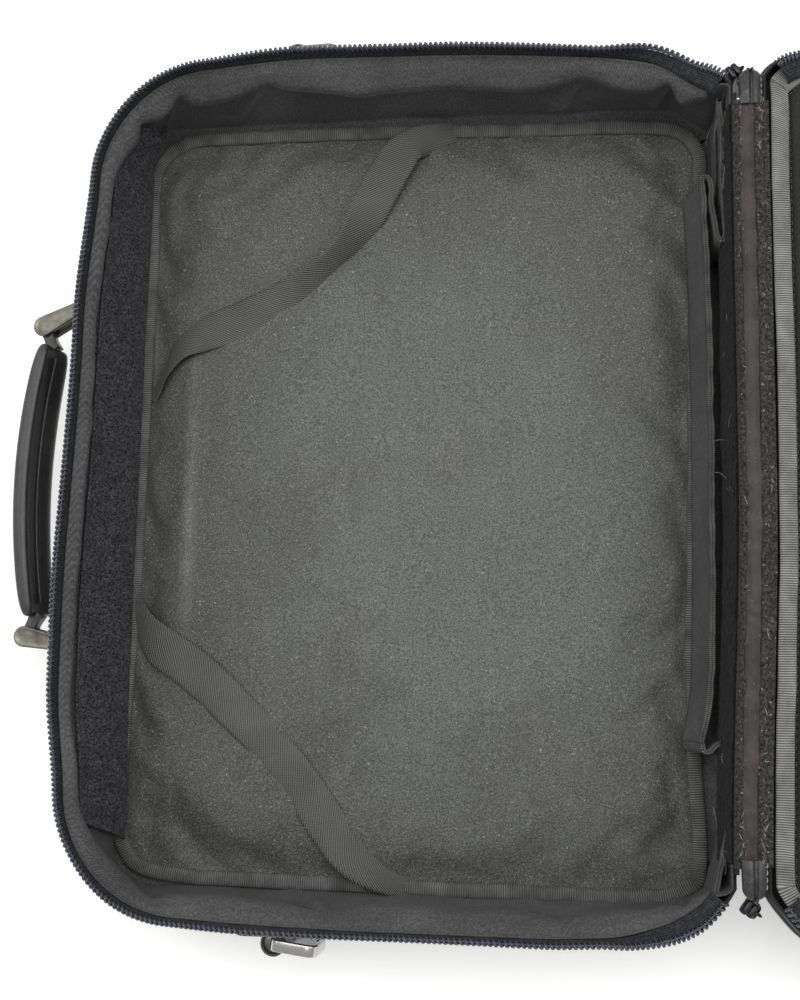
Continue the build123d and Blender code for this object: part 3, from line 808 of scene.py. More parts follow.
# Places where the lining's padded roll is pinched: x and y on the plan, rise of the fold, reach
PINCHES = (
    (-129.0, 173.0, 7.0, 9.0),
    (-107.0, 192.0, 7.5, 8.0),
    (-58.6, 197.0, 6.5, 11.0),
    (87.0, 192.0, 6.5, 13.0),
    (127.0, 191.0, 6.5, 7.0),
    (-102.0, -193.0, 5.5, 10.0),
    (-20.0, -196.0, 3.0, 16.0),
    (75.0, -196.0, 3.5, 12.0),
    (132.0, -186.0, 6.0, 8.0),
)


def lining_profile(ring, s):
    """Roll depth and fold height of the lining at each point of the rim."""
    x, y = ring[:, 0], ring[:, 1]
    upper = smooth(135.0, 185.0, y)
    lower = smooth(135.0, 185.0, -y)
    hinge = smooth(140.0, 152.0, x)
    side = np.clip(1.0 - upper - lower, 0.0, 1.0)
    depth = 5.8 * upper + 4.2 * lower + 1.6 * side * (1.0 - hinge)
    depth *= 1.0 - hinge
    fold = 43.0 * upper + 44.5 * lower + 53.5 * side
    wave = wander(s, 38.0, 2)
    depth *= 1.25 + 0.45 * wave
    fold += 2.0 * wander(s, 30.0, 5)
    for px, py, rise, reach in PINCHES:
        middle = np.argmin((x - px) ** 2 + (y - py) ** 2)
        gap = np.abs(s - s[middle])
        pull = np.exp(-gap / reach)
        fold += rise * pull
        depth *= 1.0 - 0.55 * np.exp(-(gap / reach) ** 2)
    return depth, fold, side * (1.0 - hinge)


BASE_RING = wall_ring(0.0, 0.0)
RIM_RING = wall_ring(RIM_Z, 0.0)
RIM_OUT = outward(RIM_RING)
RIM_S = lengths(RIM_RING)


def wall_point(index, z, depth):
    """Points depth inside the wall's outer face at height z, for rim points given by index."""
    share = np.clip(np.asarray(z, float) / RIM_Z, 0.0, 1.2)[..., None]
    flat = BASE_RING[index] * (1.0 - share) + RIM_RING[index] * share
    flat = flat - RIM_OUT[index] * np.asarray(depth, float)[..., None]
    return np.concatenate([flat, np.broadcast_to(z, flat.shape[:-1])[..., None]], axis=-1)


LINING_TOP = 58.0
LINING_COLS = 50


def lining():
    """Lining of the walls: a padded roll under the zip, a fold below it, and a slack lower wall."""
    index = np.arange(len(RIM_RING))
    s = RIM_S
    depth, fold, side = lining_profile(RIM_RING, s)
    fold_at, foot_at, floor_at = 0.42, 0.58, 0.9
    hinge = smooth(150.0, 155.0, RIM_RING[:, 0])
    near_hinge = smooth(92.0, 142.0, RIM_RING[:, 0]) * (1.0 - hinge)
    columns = []
    for k in np.linspace(0.0, 1.0, LINING_COLS):
        roll_z = LINING_TOP + (fold - LINING_TOP) * k / fold_at
        under_z = fold - 3.5 * (k - fold_at) / (foot_at - fold_at)
        low_z = (fold - 3.5) + (11.9 - fold) * (k - foot_at) / (floor_at - foot_at)
        z = np.where(k < fold_at, roll_z, np.where(k < foot_at, under_z, low_z))
        z = np.maximum(z, 8.4)
        roll = depth * smooth(0.0, 0.34, k) * smooth(foot_at, fold_at, k)
        creases = np.zeros_like(s)
        for px, py, rise, _ in PINCHES:
            middle = np.argmin((RIM_RING[:, 0] - px) ** 2 + (RIM_RING[:, 1] - py) ** 2)
            skew = 0.35 * (fold - z) * (1.0 if rise > 6.2 else -1.0)
            creases += 3.0 * np.exp(-((s - s[middle] - skew) / 3.6) ** 2)
        low = smooth(foot_at, foot_at + 0.08, k) * (1.0 - smooth(0.8, floor_at, k))
        belly = 5.5 * side * smooth(58.0, 14.0, z)
        start = (4.0 + 2.2 * smooth(0.0, 0.14, k)) * (1.0 - hinge) + 2.4 * hinge
        start = start + 4.5 * near_hinge * smooth(0.6, 0.0, k)
        inward = start + roll + creases * low + belly + 17.0 * smooth(floor_at, 1.0, k)
        columns.append(wall_point(index, z, inward))
    rows = np.array(columns)
    rows[..., :2] += (0.9 * field(rows, 24.0, 8) * smooth(0.0, 0.2, np.linspace(0, 1, LINING_COLS))[:, None]
                      )[..., None] * RIM_OUT[None]
    part = Part().grid(rows.transpose(1, 0, 2), closed=True)
    made = piece("lining", part, TWILL, "case_base",
                 ["wall_lining", "hinge_wall_lining"], soften)
    made = thicken(made, 0.8, offset=-1.0)
    return made


# ---- sweeps ----------------------------------------------------------------------------------------

def sweep(path, section, across, up, closed=False):
    """Closed section carried along a path: section rows are (across, up) offsets, which may vary."""
    path = np.asarray(path, float)
    section = np.asarray(section, float)
    if section.ndim == 2:
        section = np.broadcast_to(section, (len(path),) + section.shape)
    points = path[:, None] + section[..., :1] * across[:, None] + section[..., 1:2] * up[:, None]
    u = lengths(path)
    v = lengths(section[0])
    uv = np.stack(np.meshgrid(u, v, indexing="ij"), -1) * MM
    faces = ring_faces(len(path), section.shape[1], closed)
    return points, faces, uv


def add_sweep(part, path, section, across, up, closed=False):
    points, faces, uv = sweep(path, section, across, up, closed)
    start = part.count
    part.add(points, faces, uv)
    if not closed:
        part.caps(start, len(path), points.shape[1])
    return part


def flat_frame(path, closed=False):
    """Level side direction and straight up along a path."""
    ahead = np.gradient(path, axis=0)
    if closed:
        ahead = np.roll(path, -1, 0) - np.roll(path, 1, 0)
    ahead = unit(ahead)
    across = unit(np.cross(ahead, (0.0, 0.0, 1.0)))
    return across, np.cross(across, ahead)


def pillow_section(width, height, count=14, power=2.6):
    """Closed oval, flatter than an ellipse, standing on its lower side."""
    a = np.linspace(0.0, 2 * math.pi, count, endpoint=False)
    c, s = np.cos(a), np.sin(a)
    x = np.sign(c) * np.abs(c) ** (2.0 / power) * width / 2.0
    y = np.sign(s) * np.abs(s) ** (2.0 / power) * height / 2.0
    return np.stack([x, y], 1)


def ribbed_band(part, path, width, height, pitch, closed=False, depth=0.2):
    """Folded tape, with cords across it as real relief."""
    length = lengths(np.vstack([path, path[:1]]) if closed else path)[-1]
    count = int(round(length / pitch)) * 3
    loop = np.vstack([path, path[:1]]) if closed else path
    path = resample(loop, count=count + 1)
    path = path[:-1] if closed else path
    across, up = flat_frame(path, closed)
    section = pillow_section(width, height)
    swell = 1.0 + depth / (height / 2.0) * np.cos(2 * math.pi * np.arange(len(path)) / 3.0)
    sections = section[None] * np.stack([np.ones_like(swell), swell], 1)[:, None, :]
    return add_sweep(part, path, sections, across, up, closed)


# ---- deep half: floor ------------------------------------------------------------------------------

# Middle line of the floor panel's binding, anticlockwise, from the middle of the upper side
BINDING_LINE = (
    (18, 181.6), (-40, 182.6), (-98, 182.8), (-117, 180.0), (-128, 170.0), (-131, 152),
    (-131.2, 80), (-132, 0), (-134, -80), (-136.2, -150), (-132.5, -173.5), (-116, -184.0),
    (-60, -186.2), (0, -187.2), (60, -187.6), (112, -187.8), (132, -183.5), (138.6, -170),
    (136.6, -100), (138.6, 0), (140.2, 90), (143.2, 152), (141.2, 168), (130.5, 177.4), (104, 180.4),
    (60, 180.6),
)


def binding_path(z=10.0):
    line = np.array(BINDING_LINE, float)
    line = np.column_stack([line, np.full(len(line), z)])
    wrapped = np.vstack([line[-2:], line, line[:2]])
    curve = smooth_path(wrapped, 1600)
    start = np.argmin(np.linalg.norm(curve[:800] - line[0], axis=1))
    stop = 800 + np.argmin(np.linalg.norm(curve[800:] - line[0], axis=1))
    loop = resample(curve[start:stop + 1], count=1401)[:-1]
    s = np.linspace(0.0, 1250.0, len(loop))
    away = flat_frame(loop, True)[0]
    fade = np.minimum(smooth(0, 60, s), smooth(1250, 1190, s))
    loop += away * (0.7 * wander(s, 42.0, 9) * fade)[:, None]
    loop[:, 2] += 0.6 * wander(s, 60.0, 10) * fade + 0.4
    return loop


def floor_binding():
    part = ribbed_band(Part(), binding_path(), 6.9, 4.0, 1.07, closed=True)
    return piece("floor_binding_tape", part, GROSGRAIN, "case_base", ["floor_binding"])


# Creases and soft ridges of the floor panel: start, end, rise, half width
PAD_FOLDS = (
    ((45, 182), (55, 158), -1.9, 2.0),
    ((51, 182), (62, 160), 1.3, 3.0),
    ((-98, 182), (-103, 168), -1.2, 1.6),
    ((-80, 182), (-84, 170), -1.0, 1.6),
    ((104, 178), (106, 168), -1.0, 1.5),
    ((122, 178), (128, 160), -1.6, 2.0),
    ((84, 178), (86, 170), -0.9, 1.5),
    ((-103, 62), (-106, -8), 1.5, 5.0),
    ((-106, -8), (-107.5, -70), 1.2, 5.0),
    ((-96, 70), (-99, -40), -0.8, 5.0),
    ((7, 80), (-10, 46), 0.9, 4.5),
    ((-10, 46), (-25, 8), 0.7, 4.5),
    ((-60, 150), (-95, 100), 0.7, 9.0),
    ((-120, -184), (-112, -170), -1.3, 2.0),
    ((60, -186), (58, -174), -1.0, 1.8),
    ((100, -187), (98, -172), -1.3, 2.0),
    ((118, -186), (112, -168), 0.8, 4.0),
)


def fold_relief(x, y, folds):
    out = np.zeros_like(x)
    for start, end, rise, reach in folds:
        a, b = np.array(start, float), np.array(end, float)
        along = b - a
        t = np.clip(((x - a[0]) * along[0] + (y - a[1]) * along[1]) / (along @ along), 0.0, 1.0)
        gap = np.hypot(x - a[0] - t * along[0], y - a[1] - t * along[1])
        out += 1.5 * rise * np.exp(-(gap / reach) ** 2) * (1.0 - 0.75 * t)
    return out


def nearest_on(points, loop):
    """Distance to a closed plan loop and the nearest point on it."""
    best = np.full(len(points), 1e9)
    near = np.zeros_like(points)
    for a, b in zip(loop, np.roll(loop, -1, 0)):
        along = b - a
        t = np.clip(((points - a) @ along) / max(float(along @ along), 1e-9), 0.0, 1.0)
        q = a + t[:, None] * along
        gap = np.linalg.norm(points - q, axis=1)
        closer = gap < best
        best[closer] = gap[closer]
        near[closer] = q[closer]
    return best, near


def inside(points, loop):
    """Whether plan points lie inside a closed loop."""
    result = np.zeros(len(points), bool)
    for a, b in zip(loop, np.roll(loop, -1, 0)):
        crosses = (a[1] > points[:, 1]) != (b[1] > points[:, 1])
        at = a[0] + (points[:, 1] - a[1]) * (b[0] - a[0]) / (b[1] - a[1] + 1e-12)
        result ^= crosses & (points[:, 0] < at)
    return result


def filled(loop, step):
    """Grid of plan points covering the loop's box, with those outside pulled onto the loop."""
    low, high = loop.min(0), loop.max(0)
    rows = int((high[0] - low[0]) / step) + 1
    cols = int((high[1] - low[1]) / step) + 1
    across = np.linspace(low[0], high[0], rows)
    along = np.linspace(low[1], high[1], cols)
    gx, gy = np.meshgrid(across, along, indexing="ij")
    points = np.stack([gx.ravel(), gy.ravel()], 1)
    gap, near = nearest_on(points, loop)
    held = inside(points, loop)
    points[~held] = near[~held]
    gap[~held] = 0.0
    return points.reshape(rows, cols, 2), gap.reshape(rows, cols)


def closed_pad(name, grid, top, bottom, material, body, nodes, place=None):
    """Pillow of two grids that share an edge line."""
    upper = np.concatenate([grid, top[..., None]], -1)
    lower = np.concatenate([grid, bottom[..., None]], -1)
    part = Part().grid(upper).grid(lower, flip=True)
    made = piece(name, part, material, body, nodes, place)
    return weld(made)


def simulate(obj, pinned, growth, pressure, frames=18, cap=5.0):
    """Lets the sheet swell as sewn fabric does: pinned points stay, the rest moves at most cap."""
    start = np.zeros(len(obj.data.vertices) * 3)
    obj.data.vertices.foreach_get("co", start)
    start = start.reshape(-1, 3)
    group = obj.vertex_groups.new(name="sewn")
    group.add([int(i) for i in pinned], 1.0, "REPLACE")
    mod = obj.modifiers.new("cloth", "CLOTH")
    cloth = mod.settings
    cloth.quality = 6
    cloth.mass = 0.15
    cloth.tension_stiffness = 12.0
    cloth.compression_stiffness = 12.0
    cloth.shear_stiffness = 4.0
    cloth.bending_stiffness = 0.25
    cloth.shrink_min = -growth
    cloth.vertex_group_mass = group.name
    cloth.use_pressure = True
    cloth.uniform_pressure_force = pressure
    cloth.effector_weights.gravity = 0.0
    mod.collision_settings.use_collision = False
    mod.point_cache.frame_start = 1
    mod.point_cache.frame_end = frames
    for frame_number in range(1, frames + 1):
        bpy.context.scene.frame_set(frame_number)
    graph = bpy.context.evaluated_depsgraph_get()
    moved = np.zeros(len(start) * 3)
    obj.evaluated_get(graph).data.vertices.foreach_get("co", moved)
    step = moved.reshape(-1, 3) - start
    size = np.linalg.norm(step, axis=1, keepdims=True)
    step *= np.minimum(1.0, cap * MM / np.maximum(size, 1e-9))
    obj.modifiers.clear()
    obj.vertex_groups.clear()
    obj.data.vertices.foreach_set("co", (start + step).ravel())
    obj.data.update()
    bpy.context.scene.frame_set(1)
    return obj


def floor_pad():
    loop = binding_path()[::8, :2]
    grid, gap = filled(loop, 3.6)
    x, y = grid[..., 0], grid[..., 1]
    crown = 2.6 * smooth(1.0, 26.0, gap) + 0.9 * smooth(20.0, 110.0, gap)
    ripples = np.sin((x + y * 0.3) / 4.1 + 2.0 * np.sin(y / 17.0))
    pucker = 1.5 * np.exp(-gap / 10.0) * ripples * smooth(2.0, 7.0, gap)
    points3 = np.concatenate([grid, np.zeros_like(x)[..., None]], -1)
    drape = 1.5 * field(points3, 55.0, 21) + 0.4 * field(points3, 16.0, 22)
    top = 9.8 + crown + smooth(2.0, 20.0, gap) * drape + pucker + fold_relief(x, y, PAD_FOLDS)
    top = np.maximum(top, 8.9)
    top[gap < 0.1] = 8.9
    bottom = np.full_like(top, 8.1)
    bottom[gap < 0.1] = 8.9
    made = closed_pad("floor_pad_cover", grid, top, bottom, SATIN, "case_base",
                      ["floor_pad"])
    points = np.array([v.co for v in made.data.vertices]) / MM
    edge = nearest_on(points[:, :2], loop)[0]
    pinned = np.where((edge < 4.0) | (points[:, 2] < 8.5))[0]
    simulate(made, pinned, growth=0.022, pressure=1.2, cap=3.5)
    rounded(made)
    return made


# ---- deep half: fastener strips and straps ---------------------------------------------------------

def fuzzy(rows, seed, depth=0.5):
    """Adds the uneven nap of loop fastener along a sheet's normals."""
    along = np.gradient(rows, axis=0)
    across = np.gradient(rows, axis=1)
    normal = unit(np.cross(along, across))
    nap = depth * field(rows, 2.2, seed, 2) + 0.4 * depth * field(rows, 0.9, seed + 1, 1)
    return rows + normal * nap[..., None]


def nearest_index(x, y):
    return int(np.argmin((RIM_RING[:, 0] - x) ** 2 + (RIM_RING[:, 1] - y) ** 2))


def handle_loop_strip():
    first = nearest_index(-132.0, 188.0)
    last = nearest_index(-HALF_X, -158.0)
    fine = np.linspace(first, last, 330)
    index = fine.astype(int)
    share = (fine - index)[:, None]
    columns = []
    ring_s = np.interp(fine, np.arange(len(RIM_S)), RIM_S)
    for k in np.linspace(0.0, 1.0, 46):
        z = 51.0 + (12.5 - 51.0) * k
        z = np.full(len(fine), z) - 1.0 * wander(ring_s, 50.0, 31) * (1 - k)
        z -= 14.0 * (1 - k) * smooth(18.0, 0.0, ring_s - ring_s[0])
        depth = 7.2 + 7.6 * smooth(56.0, 14.0, z) + 0.9 * bump(k, 0.0, 0.05)
        here = wall_point(index, z, depth)
        after = wall_point(index + 1, z, depth)
        columns.append(here * (1 - share) + after * share)
    rows = np.array(columns).transpose(1, 0, 2)
    rows = fuzzy(rows, 33, 0.3)
    part = Part().grid(rows, flip=True)
    made = piece("handle_side_pile", part, PILE, "case_base",
                 ["handle_side_loop_strip"], soften)
    thicken(made, 1.0)
    edge = rows[:, 0] + (0.0, 0.0, 0.4)
    stitch_row("pile_stitches", edge[4:-4], "case_base", "loop_pile", soften, push=0.7)
    return made


def hinge_loop_strip():
    y = np.linspace(-168.0, 168.0, 340)
    rows = []
    for v in y:
        line = []
        for k in np.linspace(0.0, 1.0, 26):
            z = 38.0 + 25.0 * k
            x = 150.0 + 4.1 * k ** 1.3
            line.append((x, v, z))
        rows.append(line)
    rows = np.array(rows)
    rows[..., 0] += 0.6 * field(rows, 18.0, 35)
    rows = fuzzy(rows, 36, 0.6)
    part = Part().grid(rows)
    # this strip uses the darker copy of the loop pile, which paints shade into its colour
    made = piece("hinge_side_pile", part, HINGE_PILE_PAINTED_SHADE, "case_base",
                 ["hinge_side_loop_strip"], soften)
    thicken(made, 1.2)
    return made


# Middle line of each elastic strap: x, y, z, tilt in degrees, width
UPPER_STRAP = (
    (23, 181.5, 10.4, 8, 11), (12, 176.4, 15.4, 20, 14), (3.0, 172.5, 18.6, -6, 18),
    (-3.0, 167.0, 19.0, -8, 20), (-11.0, 153.0, 20.0, 4, 20), (-18.5, 137, 20.5, 22, 19),
    (-25.0, 124.0, 20.0, 52, 19), (-35.0, 112.5, 18.5, 60, 19), (-46.0, 103.0, 17.5, 42, 19),
    (-61.0, 93.5, 16.4, 16, 20), (-82.0, 84.5, 15.8, 2, 20), (-101.0, 78.5, 15.8, -6, 18.5),
    (-113.5, 70.0, 15.6, -35, 15), (-120.5, 59.0, 12.8, -58, 12), (-128.5, 47.0, 9.6, -30, 9),
)
LOWER_STRAP = (
    (-133.0, -54.0, 9.6, -40, 9), (-126.0, -66.0, 14.0, -30, 15), (-117.5, -76.0, 16.0, -12, 20),
    (-103.0, -85.5, 16.2, 4, 20.5), (-89.0, -97.0, 16.0, -4, 20.5), (-76.5, -108.0, 16.2, 5, 20),
    (-63.5, -120.5, 16.0, 0, 20), (-46.0, -140.5, 16.0, -4, 20), (-31.5, -160.0, 16.2, 6, 20),
    (-20.0, -173.5, 16.0, 14, 19), (-7.0, -182.0, 13.6, 20, 15), (8.0, -187.5, 9.4, 8, 11),
)


def strap(name, line, node):
    """Elastic ribbon with scalloped edges, twisting as it goes."""
    curve = smooth_path(np.array(line, float), 420)
    path = curve[:, :3].copy()
    s = lengths(path)
    path[:, 2] += 0.5 * wander(s, 16.0, 41)
    ahead = unit(np.gradient(path, axis=0))
    level = unit(np.cross(ahead, (0.0, 0.0, 1.0)))
    up = np.cross(level, ahead)
    tilt = np.radians(curve[:, 3])[:, None]
    across = level * np.cos(tilt) + up * np.sin(tilt)
    normal = np.cross(across, ahead)
    half = curve[:, 4] / 2.0
    columns = np.linspace(-1.0, 1.0, 15)
    top, low = [], []
    for c in columns:
        edge = abs(c) ** 6
        ripple = edge * (0.16 * np.sin(s * 2 * math.pi / 2.6 + c) + 0.45 * wander(s, 13.0, 43 + (c > 0)))
        bow = 0.8 * (1 - c * c) + ripple
        swell = 1.0 + edge * 0.012 * np.sin(s * 2 * math.pi / 2.6)
        middle = path + across * (c * half * swell)[:, None] + normal * bow[:, None]
        thick = 0.45 * (1.0 - 0.6 * abs(c) ** 8)
        top.append(middle + normal * thick)
        low.append(middle - normal * thick)
    loop = np.array(top + low[::-1]).transpose(1, 0, 2)
    v = np.concatenate([columns, columns[::-1]]) * 10.0
    uv = np.stack(np.meshgrid(s, v, indexing="ij"), -1) * MM
    part = Part().add(loop, ring_faces(len(path), loop.shape[1]), uv)
    part.caps(0, len(path), loop.shape[1])
    made = piece(name, part, ELASTIC, "case_base", [node])
    return made


# ---- zip -------------------------------------------------------------------------------------------

def mirrored(p):
    """Base side of the closed zip to lid side."""
    q = np.array(p, float)
    q[..., 2] = 2.0 * RIM_Z + 0.5 - q[..., 2]
    return q


TAPE_UP = 5.2
COIL_UP = 6.9
FLARE_REST = 7.0
FLARE_HINGE = 72.0


def zip_frame(count):
    """Evenly spaced stations along the zip: foot point, direction up the tape, and outward side."""
    fine = np.linspace(0.0, ZIP_END - 1.0, 2400)
    index = fine.astype(int)
    share = (fine - index)[:, None]
    foot = wall_point(index, np.full(len(fine), 57.0), np.full(len(fine), 2.6)) * (1 - share)
    foot = foot + wall_point(index + 1, np.full(len(fine), 57.0), np.full(len(fine), 2.6)) * share
    out = RIM_OUT[index] * (1 - share) + RIM_OUT[index + 1] * share
    out = unit(np.column_stack([out, np.zeros(len(out))]))
    s = lengths(foot)
    t = np.linspace(5.0, s[-1] - 5.0, count)
    foot = np.stack([np.interp(t, s, foot[:, k]) for k in range(3)], 1)
    out = unit(np.stack([np.interp(t, s, out[:, k]) for k in range(3)], 1))
    near_hinge = smooth(92.0, 142.0, foot[:, 0])[:, None]
    flare = np.radians(FLARE_HINGE * near_hinge[:, 0] + FLARE_REST + 5.0 * wander(t, 60.0, 51))[:, None]
    foot = foot - out * (COIL_UP * (np.sin(flare) - math.sin(math.radians(FLARE_REST))) * near_hinge)
    foot = foot + np.array([0.0, 0.0, 2.4]) * near_hinge
    rise = np.cos(flare) * np.array([0.0, 0.0, 1.0]) + np.sin(flare) * out
    side = np.cos(flare) * out - np.sin(flare) * np.array([0.0, 0.0, 1.0])
    return t, foot, rise, side


def zip_tape(name, body, nodes, place, flip=False):
    t, foot, rise, side = zip_frame(760)
    ups = np.linspace(-4.8, TAPE_UP + 0.6, 10)
    inner = []
    for u in ups:
        lean = rise if u > 0 else np.array([0.0, 0.0, 1.0])
        inner.append(foot + lean * u - side * (0.25 * np.sin(t / 3.1) * (u > 1))[:, None])
    rows = np.array(inner).transpose(1, 0, 2)
    part = Part().grid(rows, flip=flip)
    made = piece(name, part, TAPE_CLOTH, body, nodes, place)
    thicken(made, 0.8, offset=0.0)
    return made


def zip_coil(name, body, nodes, place):
    """One row of zip teeth: a wire coil with a fatter head on each turn."""
    t, foot, rise, side = zip_frame(3000)
    turns = int(t[-1] / COIL_PITCH)
    steps = 13
    theta = np.linspace(0.0, turns * 2 * math.pi, turns * steps + 1)
    at = t[0] + (t[-1] - t[0]) * theta / theta[-1]
    at = at + 0.5 * np.sin(theta) * 0.5
    pick = [np.stack([np.interp(at, t, a[:, k]) for k in range(3)], 1) for a in (foot, rise, side)]
    middle = pick[0] + pick[1] * COIL_UP
    path = middle + pick[1] * (1.35 * np.cos(theta))[:, None] + pick[2] * (1.2 * np.sin(theta))[:, None]
    head = np.clip(np.cos(theta), 0.0, 1.0) ** 3
    radius = 0.5 + 0.34 * head
    part = Part().tube(path, radius, sides=7)
    cord = foot + rise * (COIL_UP - 0.2)
    part.tube(resample(cord, step=2.0), 0.7, sides=6)
    return piece(name, part, COIL, body, nodes, place)


def lid_zip_place(p):
    return open_lid(mirrored(p))


# ---- pocket on the spine-side wall -----------------------------------------------------------------

# Plan lines of the pocket's cloth: the front panel, and the folded ends that close it to the wall
POCKET_FRONT = ((142.2, 137.0), (143.6, 110), (144.4, 70), (144.6, 10), (144.0, -55), (142.4, -94),
                (140.2, -109), (138.4, -117.5))
POCKET_UPPER = ((142.2, 137.0), (142.8, 140.4), (145.0, 140.6), (146.2, 137), (146.0, 128), (147.0, 117),
                (147.8, 109.5), (149.8, 107.2), (151.4, 111), (151.2, 122), (150.2, 136), (150.4, 153),
                (149.4, 173))
POCKET_LOWER = ((138.4, -117.5), (138.6, -120.6), (141.0, -121.2), (144.6, -118.2), (148.0, -116.8),
                (149.4, -119.2), (147.0, -123), (147.4, -127), (149.0, -132), (147.8, -144), (146.6, -162),
                (143.6, -175), (141.2, -183))


POCKET_FOOT_Z = 13.0
POCKET_HEIGHT = 30.0


def hem_section(height):
    """Upright cloth with a doubled hem: two folded edges with a groove between them."""
    low = np.linspace(0.0, height - 6.5, 12)
    right = [(0.55, z) for z in low]
    left = [(-0.55, z) for z in low[::-1]]
    top = height
    hem = [(1.0, top - 6.0), (1.15, top - 3.0), (1.15, top - 0.7), (0.9, top - 0.1), (0.55, top),
           (0.25, top - 0.25), (0.0, top - 0.9)]
    mirror = [(-x, z) for x, z in hem[-2::-1]]
    return np.array(right + hem + mirror + left)


def pocket_cloth(name, line, height, body, nodes, seed, tail=0.2, sag=0.0, lean=7.0, growth=9.0):
    foot = np.column_stack([np.array(line, float), np.full(len(line), POCKET_FOOT_Z)])
    path = smooth_path(foot, len(line) * 26)
    s = lengths(path)
    across, _ = flat_frame(path)
    up = np.tile((0.0, 0.0, 1.0), (len(path), 1))
    section = hem_section(height)
    points, faces, uv = sweep(path, section, across, up)
    rise = np.clip((points[..., 2] - POCKET_FOOT_Z) / height, 0.0, 1.0)
    points[..., 2] += growth * rise * smooth(6.0, 40.0, s)[:, None]
    slack = lean * np.interp(s, (0.0, 30.0), (1.0, tail))[:, None]
    wrinkles = 0.9 * rise * field(points, 26.0, seed) + 0.35 * field(points, 8.0, seed + 1)
    points[..., 0] += wrinkles - slack * (1.0 - rise) ** 1.4
    top_line = wander(s, 45.0, seed + 2) - sag * np.sin(np.pi * s / s[-1])
    points[..., 2] += rise * top_line[:, None]
    part = Part().add(points, faces, uv)
    part.caps(0, len(path), section.shape[0])
    made = piece(name, part, TWILL, body, nodes)
    made.data.materials.append(HEM)
    hem_faces = [f.index for f in made.data.polygons if f.center[2] > (POCKET_FOOT_Z + height - 6.0) * MM]
    for i in hem_faces:
        made.data.polygons[i].material_index = 1
    return made


def pocket():
    pocket_cloth("pocket_front", POCKET_FRONT, POCKET_HEIGHT, "pocket", ["pocket_panel", "pocket_hem"], 61,
                 tail=1.0, sag=1.0, growth=0.0)
    upper = pocket_cloth("pocket_fold_upper", POCKET_UPPER, POCKET_HEIGHT, None, ["pocket_gusset_upper"], 64)
    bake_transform(upper)
    lower = pocket_cloth("pocket_fold_lower", POCKET_LOWER, POCKET_HEIGHT, None, ["pocket_gusset_lower"], 67)
    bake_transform(lower)


# ---- spine -----------------------------------------------------------------------------------------

def spine_sheet(name, low_z, high_z, x, half_y, material, nodes, seed, cols=14, crown=0.7):
    """Strip of the spine between two closed heights, crowned a little outwards."""
    y = np.linspace(-half_y, half_y, 260)
    k = np.linspace(0.0, 1.0, cols)
    z = low_z + (high_z - low_z) * k
    rows = np.zeros((len(y), cols, 3))
    rows[..., 0] = x - crown * np.sin(np.pi * k)[None, :]
    rows[..., 1] = y[:, None]
    rows[..., 2] = z[None, :]
    rows[..., 0] += 0.35 * field(rows, 13.0, seed) + 0.25 * field(rows, 3.5, seed + 1)
    rows[..., 2] += 0.5 * wander(y, 14.0, seed + 2)[:, None] * (np.abs(k - 0.5) > 0.4)[None, :]
    part = Part().grid(rows, flip=True)
    made = piece(name, part, material, "spine", nodes, open_spine)
    return thicken(made, 1.3, offset=-1.0)


def fold_web(name, points, half_y, material, seed):
    """Fabric over a fold line, drawn in the open position as a strip through the given x, z points."""
    line = smooth_path([(x, 0.0, z) for x, z in points], 12)
    y = np.linspace(-half_y, half_y, 220)
    rows = np.zeros((len(y), len(line), 3))
    rows[..., 0] = line[None, :, 0]
    rows[..., 1] = y[:, None]
    rows[..., 2] = line[None, :, 2]
    rows[..., 2] += 0.3 * field(rows, 9.0, seed) + 0.2 * field(rows, 2.5, seed + 1)
    rows[..., 1] -= 0.9 * smooth(120.0, 175.0, rows[..., 1])
    part = Part().grid(rows, flip=True)
    made = piece(name, part, material, None, (), drift)
    thicken(made, 1.0, offset=-1.0)
    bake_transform(made)
    return made


def spine():
    strip = spine_sheet("spine_vinyl", 66.7, 74.0, 155.4, 167.5, VINYL, ["spine_strip"], 71)
    spine_sheet("spine_seam_cloth", 73.2, 76.9, 154.9, 167.0, SEAM, ["spine_seam"], 74,
                cols=9)
    fold_web("fold_by_case",
             ((153.6, 61.5), (154.2, 64.6), (155.8, 66.4), (157.6, 66.7)),
             168.0, SEAM, 77)
    fold_web("fold_by_lid", ((165.8, 66.6), (167.4, 66.8), (169.6, 66.3)),
             167.0, SEAM, 79)
    end_tab("end_tab_upper", 1, "zip_end_tab_upper")
    end_tab("end_tab_lower", -1, "zip_end_tab_lower")
    lint()


def end_tab(name, side, node):
    """Rounded leather tab, creased down its middle, over the end of the zip."""
    rows = []
    for v in np.linspace(0.0, 1.0, 34):
        y = side * (165.5 + 16.5 * v)
        half = 5.0 * math.sqrt(max(1.0 - max((v - 0.70) / 0.30, 0.0) ** 2, 0.0025))
        half *= 1.0 + (0.12 if side < 0 else 0.0) * (1 - v)
        line = []
        for k in np.linspace(-1.0, 1.0, 21):
            crease = -1.5 * math.exp(-((k - 0.08) / 0.16) ** 2) + 1.7 * (1 - k * k) * (1 - 0.3 * v)
            dome = 1.2 * math.sin(math.pi * min(v * 0.9 + 0.1, 1.0))
            x = 155.0 - crease - dome * (1 - abs(k)) ** 0.5 + 0.6 * (k < 0) * k
            line.append((x, y, 71.75 + half * k))
        rows.append(line)
    rows = np.array(rows)
    rows[..., 0] += 0.2 * field(rows, 3.0, 81)
    part = Part().grid(rows, flip=side > 0)
    made = piece(name, part, LEATHER, "spine", [node], open_spine)
    thicken(made, 1.4, offset=-1.0)
    edge = rows[2:-3, -2] - (1.0, 0.0, 0.0)
    thread = stitches(edge, stitch=2.2, gap=0.7, radius=0.25)
    piece(name + "_thread", thread, LINT, "spine", place=open_spine)


